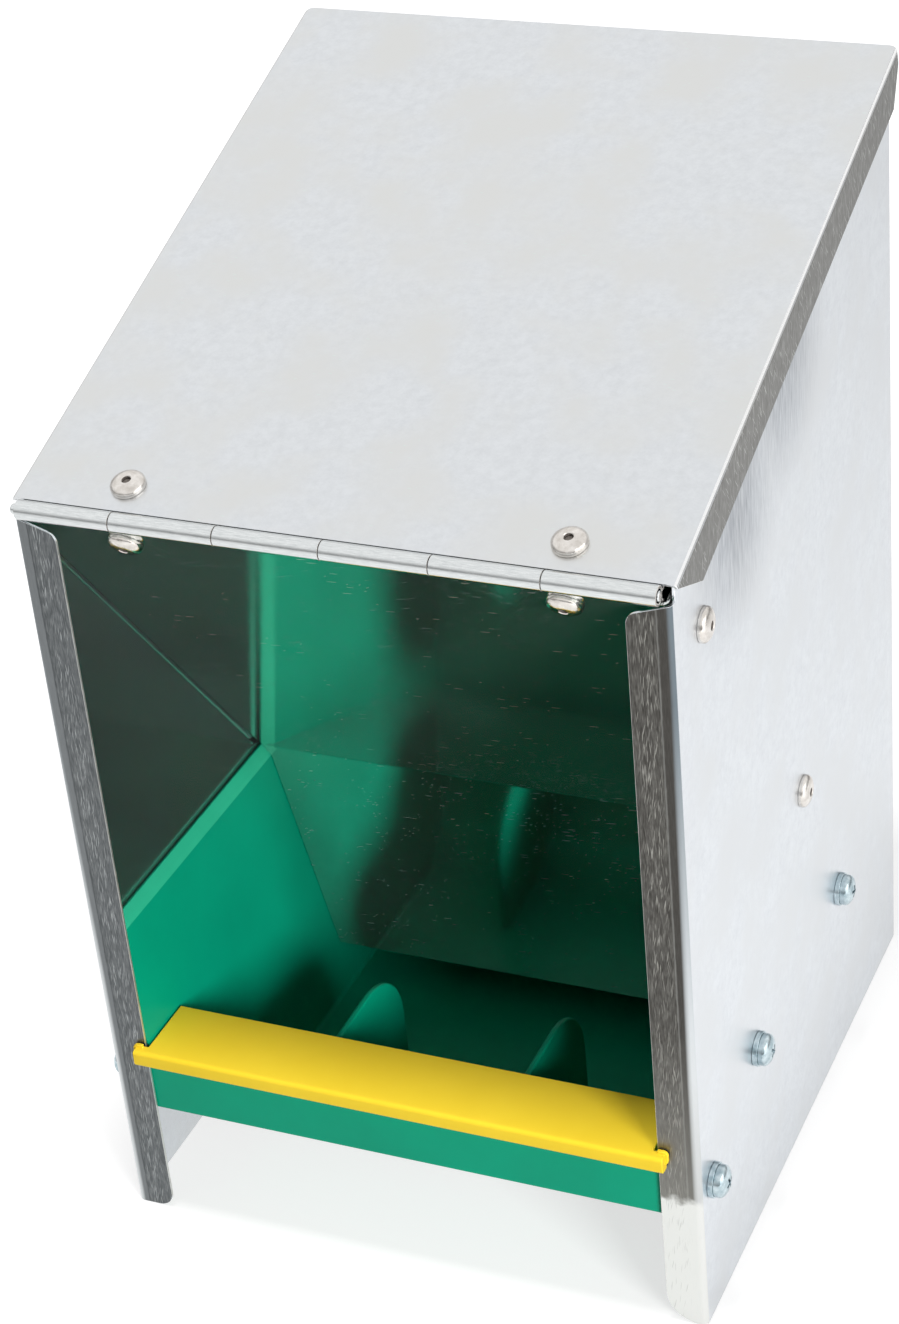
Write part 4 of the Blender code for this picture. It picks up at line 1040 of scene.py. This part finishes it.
def hinge_steel(name):
    """Galvanised hinge strip, drawn smooth by the rolling tool, with streaks along the barrel."""
    finish, add, shader, place = new_finish(name)
    along = add("Mapping", {"Vector": place, "Scale": (320.0, 2600.0, 2600.0)})
    streaks = add("TexNoise", {"Vector": along, "Scale": 1.0, "Detail": 5.0, "Roughness": 0.7})
    tones = [(0.30, "CFD3D4"), (0.62, "E6E9E9")]
    finish_metal(add, shader, streaks, tones, gloss=(0.10, 0.24), relief=(0.05, 0.0002))
    return finish


ROLLED_STEEL = hinge_steel("rolled_galvanised_hinge")
SHEARED_STEEL = zinc_plated("sheared_steel_end", "D9D6D2", "A39D98")
fill(SHEARED_STEEL.node_tree.nodes["Principled BSDF"], {"Metallic": 0.4})


def roll_leaf(name, node, body, first, side_up, left_end, slope, setback):
    """A leaf with every second knuckle rolled round the axis, from the side that the leaf lies on."""
    level = side_up * LEAF_SHEET / 2
    curl_radius = KNUCKLE_RADIUS - LEAF_SHEET / 2
    leaf = block(
        (left_end, hinge.y + BARREL_ROOM, hinge.z + level),
        (hinge_right - FIT_GAP / 2, hinge.y + LEAF_WIDTH, hinge.z + MARGIN),
    )
    drop_faces(lambda at, facing: facing.z > -ALONG)
    for index in range(1, KNUCKLE_COUNT):
        for gap in (-FIT_GAP / 2, FIT_GAP / 2):
            slice_all((hinge_left + index * knuckle_pitch + gap, 0, 0), (1, 0, 0))
    at_front = lambda at, run: abs(run.x) > ALONG and at.y < hinge.y + BARREL_ROOM + NEAR
    own = lambda at: int((at.x - hinge_left) / knuckle_pitch) % 2 == first
    not_a_gap = lambda at: FIT_GAP < (at.x - hinge_left) % knuckle_pitch < knuckle_pitch - FIT_GAP
    pick("EDGE", lambda at, run: at_front(at, run) and own(at) and not_a_gap(at))
    pull(0, math.sqrt(curl_radius**2 - level**2) - BARREL_ROOM, 0)
    sweep = 2 * math.pi - 2 * math.asin(LEAF_SHEET / 2 / curl_radius) - CURL_GAP
    bpy.ops.mesh.spin(steps=CURL_STEPS, angle=sweep * side_up, center=hinge, axis=(1, 0, 0))
    bpy.ops.mesh.select_all(action="SELECT")
    bpy.ops.mesh.remove_doubles(threshold=NEAR / 2)
    close_mesh()
    apply_modifier(leaf, "SOLIDIFY", thickness=LEAF_SHEET, offset=0)
    for side in (-1, 1):
        drill_by_hinge(leaf, side, setback)
    open_mesh()
    lean(slope)
    close_mesh()
    break_edges(leaf, LEAF_EDGE, angle=50)
    fit(leaf, name, node, body, "hinge_steel", ROLLED_STEEL, SHEARED_STEEL)
    use_finish(leaf, 1, lambda at, facing: abs(facing.x) > ALONG)


leaf_left = -insert_half + SHEET + FIT_GAP
body_leaf = (0, 1, leaf_left, BAFFLE_SLOPE, HINGE_RIVET_SETBACK)
roll_leaf("rolled_body_leaf", "hinge_body_leaf", "root", *body_leaf)
lid_leaf = (1, -1, -insert_half, LID_SLOPE, LID_RIVET_SETBACK)
roll_leaf("rolled_lid_leaf", "hinge_lid_leaf", "lid", *lid_leaf)
pin = rod((pin_low.x, hinge.y, hinge.z), (pin_high.x, hinge.y, hinge.z), PIN_RADIUS)
break_edges(pin, PIN_EDGE, steps=4, angle=50)
fit(pin, "plain_hinge_pin", "hinge_pin", "root", "hinge_steel", ROLLED_STEEL, SHEARED_STEEL)
use_finish(pin, 1, lambda at, facing: abs(facing.x) > ALONG)


# Hinge rivets. Two more blind rivets of the same kind, put in from the front through the top of the
# baffle and the leaf behind it. Their tails lie in the hopper.
hinge_grip = SHEET + LEAF_SHEET + 3 * FIT_GAP
for side_name, side in SIDES.items():
    seat = rivet_place(side, HINGE_RIVET_SETBACK, -BAFFLE_UNDER - FIT_GAP, BAFFLE_SLOPE)
    turn = (BAFFLE_SLOPE + math.pi, 0, 0)
    set_rivet(f"set_rivet_hinge_{side_name}", f"hinge_rivet_{side_name}", "root", hinge_grip, seat, turn)


# Lid. A galvanised sheet with a flange folded down along each side, cut back in a slant at both ends. It
# opens on the hinge for filling. The die has rubbed its flanges dark, and its folds carry a painted
# highlight.
LID_LENGTH = 0.2105
LID_BEND = 0.0012
LID_FLANGE = 0.014
LID_FRONT_SLANT = 0.0147
LID_BACK_SLANT = 0.011
LID_CORNER = 0.003
LID_FLAT = 0.99
LID_TURNED = 0.15

LID_SHEET = galvanised("hot_dip_galvanised_lid", "E3E6E9", "D9DCDF", "DFE0DF", 0.30, 1.0)
lid_turns = [(LID_SLOPE + 0.30, 0, 0), (LID_SLOPE - 0.45, 0, 0)]
LID_SIDE = rubbed("die_rubbed_lid_flange", "5C5B57", "CFD0CE", lid_turns)
# Near-white folds along the lid's sides: a painted highlight
LID_FOLD_HIGHLIGHT = galvanised("painted_highlight_lid_fold", "FBFBFB", "F4F5F5", "F8F8F7", 0.22, 1.0)

lid_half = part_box("lid")[1].x
lid_front = hinge.y + BARREL_ROOM
lid_back = lid_front + LID_LENGTH
lid_top = hinge.z + FIT_GAP + SHEET
lid_hem = lid_top - LID_FLANGE
lid = block((-lid_half, lid_front, lid_hem), (lid_half, lid_back, lid_top))
drop_faces(lambda at, facing: facing.z < -ALONG or abs(facing.y) > ALONG)
at_side = lambda at, run: abs(run.y) > ALONG and at.z > lid_top - NEAR
round_off("EDGE", at_side, LID_BEND, steps=6)
fold_z = lid_top - LID_BEND
for end_y, reach in ((lid_front, LID_FRONT_SLANT), (lid_back, -LID_BACK_SLANT)):
    slant_from = Vector((0, end_y, fold_z))
    slant = Vector((0, reach, lid_hem - fold_z))
    slant_out = Vector((0, slant.z, -slant.y)).normalized() * (1 if reach > 0 else -1)
    trim_faces(lambda at, facing: abs(facing.x) > LID_FLAT, slant_from, slant_out)
close_mesh()
apply_modifier(lid, "SOLIDIFY", thickness=SHEET, offset=-1)
for side in (-1, 1):
    drill_by_hinge(lid, side, LID_RIVET_SETBACK)
    corner = Vector((side * (lid_half - LID_CORNER), lid_back - LID_CORNER, lid_top))
    waste_x = sorted((corner.x, side * (lid_half + MARGIN)))
    waste = block(
        (waste_x[0], corner.y, lid_hem - MARGIN), (waste_x[1], lid_back + MARGIN, lid_top + MARGIN)
    )
    close_mesh()
    down = Vector((0, 0, LID_FLANGE + 2 * MARGIN))
    carve(waste, rod(corner - down, corner + down, LID_CORNER, sides=64))
    carve(lid, waste)
open_mesh()
lean(LID_SLOPE)
close_mesh()
break_edges(lid, EDGE_BREAK)
fit(lid, "folded_lid", "lid", "lid", "galvanised_sheet", LID_SHEET, LID_SIDE, LID_FOLD_HIGHLIGHT)
use_finish(lid, 1, lambda at, facing: abs(facing.x) > ALONG and abs(at.x) > lid_half - NEAR)
# The faces of the folds get the painted highlight
on_fold = lambda at, facing: LID_TURNED < abs(facing.x) < ALONG and abs(at.x) > lid_half - LID_BEND
use_finish(lid, 2, on_fold)


# Lid rivets. The last two blind rivets, put in from above through the lid and the leaf under it. They
# swing up with the lid.
for side_name, side in SIDES.items():
    seat = rivet_place(side, LID_RIVET_SETBACK, 2 * FIT_GAP + SHEET, LID_SLOPE)
    turn = (LID_SLOPE, 0, 0)
    set_rivet(f"set_rivet_lid_{side_name}", f"lid_rivet_{side_name}", "lid", hinge_grip, seat, turn)


# Studio. A plain white floor, white surroundings that metal can mirror, and soft light from above and
# from the front.
FLOOR_REACH = 3.0
FLOOR_DROP = 0.0002


def mirror_view(add):
    """Tells what is seen in metal, and leaves out the light that plastic gets by way of the metal."""
    rays = add("LightPath")
    straight = add("Math", {0: rays.outputs["Diffuse Depth"], 1: 0.5}, operation="LESS_THAN")
    return add("Math", {0: rays.outputs["Is Glossy Ray"], 1: straight}, operation="MULTIPLY")


bpy.ops.object.select_all(action="DESELECT")
bpy.ops.mesh.primitive_plane_add(size=2 * FLOOR_REACH, location=(0, 0, -FLOOR_DROP))
floor = bpy.context.object
floor.name = "studio_floor"
FLOOR_WHITE, add, shader, place = new_finish("matt_white_studio_floor")
fill(shader, {"Base Color": grey(0.45), "Roughness": 0.9})
rays = add("LightPath")
away = add("VectorMath", {0: place}, operation="LENGTH").outputs["Value"]
lift = add(
    "MapRange",
    {"Value": away, "From Min": 0.18, "From Max": 0.60, "To Min": 0.70, "To Max": 1.0},
    interpolation_type="SMOOTHSTEP",
)
shown = add("Math", {0: rays.outputs["Is Camera Ray"], 1: lift}, operation="MULTIPLY")
mirrored = add("Math", {0: mirror_view(add), 1: 0.58}, operation="MULTIPLY")
strength = add("Math", {0: shown, 1: mirrored}, operation="MAXIMUM")
glow = add("Emission", {"Color": grey(1.0), "Strength": strength})
both = add("AddShader", {0: shader, 1: glow})
fill(FLOOR_WHITE.node_tree.nodes["Material Output"], {"Surface": both})
floor.data.materials.append(FLOOR_WHITE)

# Metal mirrors a white sky over a greyer horizon, and plastic is lit by a weaker share of both
world = bpy.data.worlds.new("white_studio")
bpy.context.scene.world = world
world.use_nodes = True
add = partial(add_node, world.node_tree)
rays = add("LightPath")
seen = add(
    "Math",
    {0: rays.outputs["Is Camera Ray"], 1: rays.outputs["Is Transmission Ray"]},
    operation="MAXIMUM",
)
upward = add("SeparateXYZ", {0: add("TexCoord")})
sky = add(
    "MapRange",
    {"Value": upward.outputs["Z"], "From Min": 0.05, "From Max": 0.60, "To Min": 0.40, "To Max": 1.0},
    interpolation_type="SMOOTHSTEP",
)
lit = add("MapRange", {"Value": mirror_view(add), "To Min": 0.16, "To Max": 1.0})
dimmed = add("Math", {0: sky, 1: lit}, operation="MULTIPLY")
strength = add("Math", {0: seen, 1: dimmed}, operation="MAXIMUM")
fill(world.node_tree.nodes["Background"], {"Color": grey(1.0), "Strength": strength})


def softbox(name, place, aim, size, power):
    """Adds a soft area lamp that faces a point."""
    turn = (Vector(aim) - Vector(place)).to_track_quat("-Z", "Y").to_euler()
    bpy.ops.object.light_add(type="AREA", location=place, rotation=turn)
    lamp = bpy.context.object
    lamp.name = name
    lamp.data.size = size
    lamp.data.energy = power
    return lamp


# The two lamps light the plastic, and metal doesn't mirror them. It mirrors a large white panel instead,
# so that the sheet and the screws show no hot spots.
overhead = softbox("overhead_softbox", (0.0, -0.19, 1.60), (0, -0.09, 0.06), 0.22, 16.5)
overhead.visible_glossy = False
from_front = softbox("front_softbox", (1.02, -0.85, 0.45), (-0.03, -0.05, 0.10), 0.45, 18)
from_front.visible_glossy = False
panel = softbox("white_side_panel", (1.50, -0.45, 0.55), (0.09, 0.0, 0.15), 1.6, 8.5)
panel.visible_diffuse = False


# Camera. It stands in front of the feeder, to its right and above, and looks down at about 32 degrees
# through a lens of 80 mm.
CAMERA_PLACE = (0.31294, -0.67801, 0.59799)
CAMERA_TURN = (57.844, 3.873, 21.450)
CAMERA_LENS = 79.84
CAMERA_SHIFT = (-0.0721, 0.0400)

turn = Euler([math.radians(angle) for angle in CAMERA_TURN])
bpy.ops.object.camera_add(location=CAMERA_PLACE, rotation=turn)
camera = bpy.context.object
camera.data.lens = CAMERA_LENS
camera.data.shift_x, camera.data.shift_y = CAMERA_SHIFT
bpy.context.scene.camera = camera
bpy.context.scene.view_settings.view_transform = "Standard"
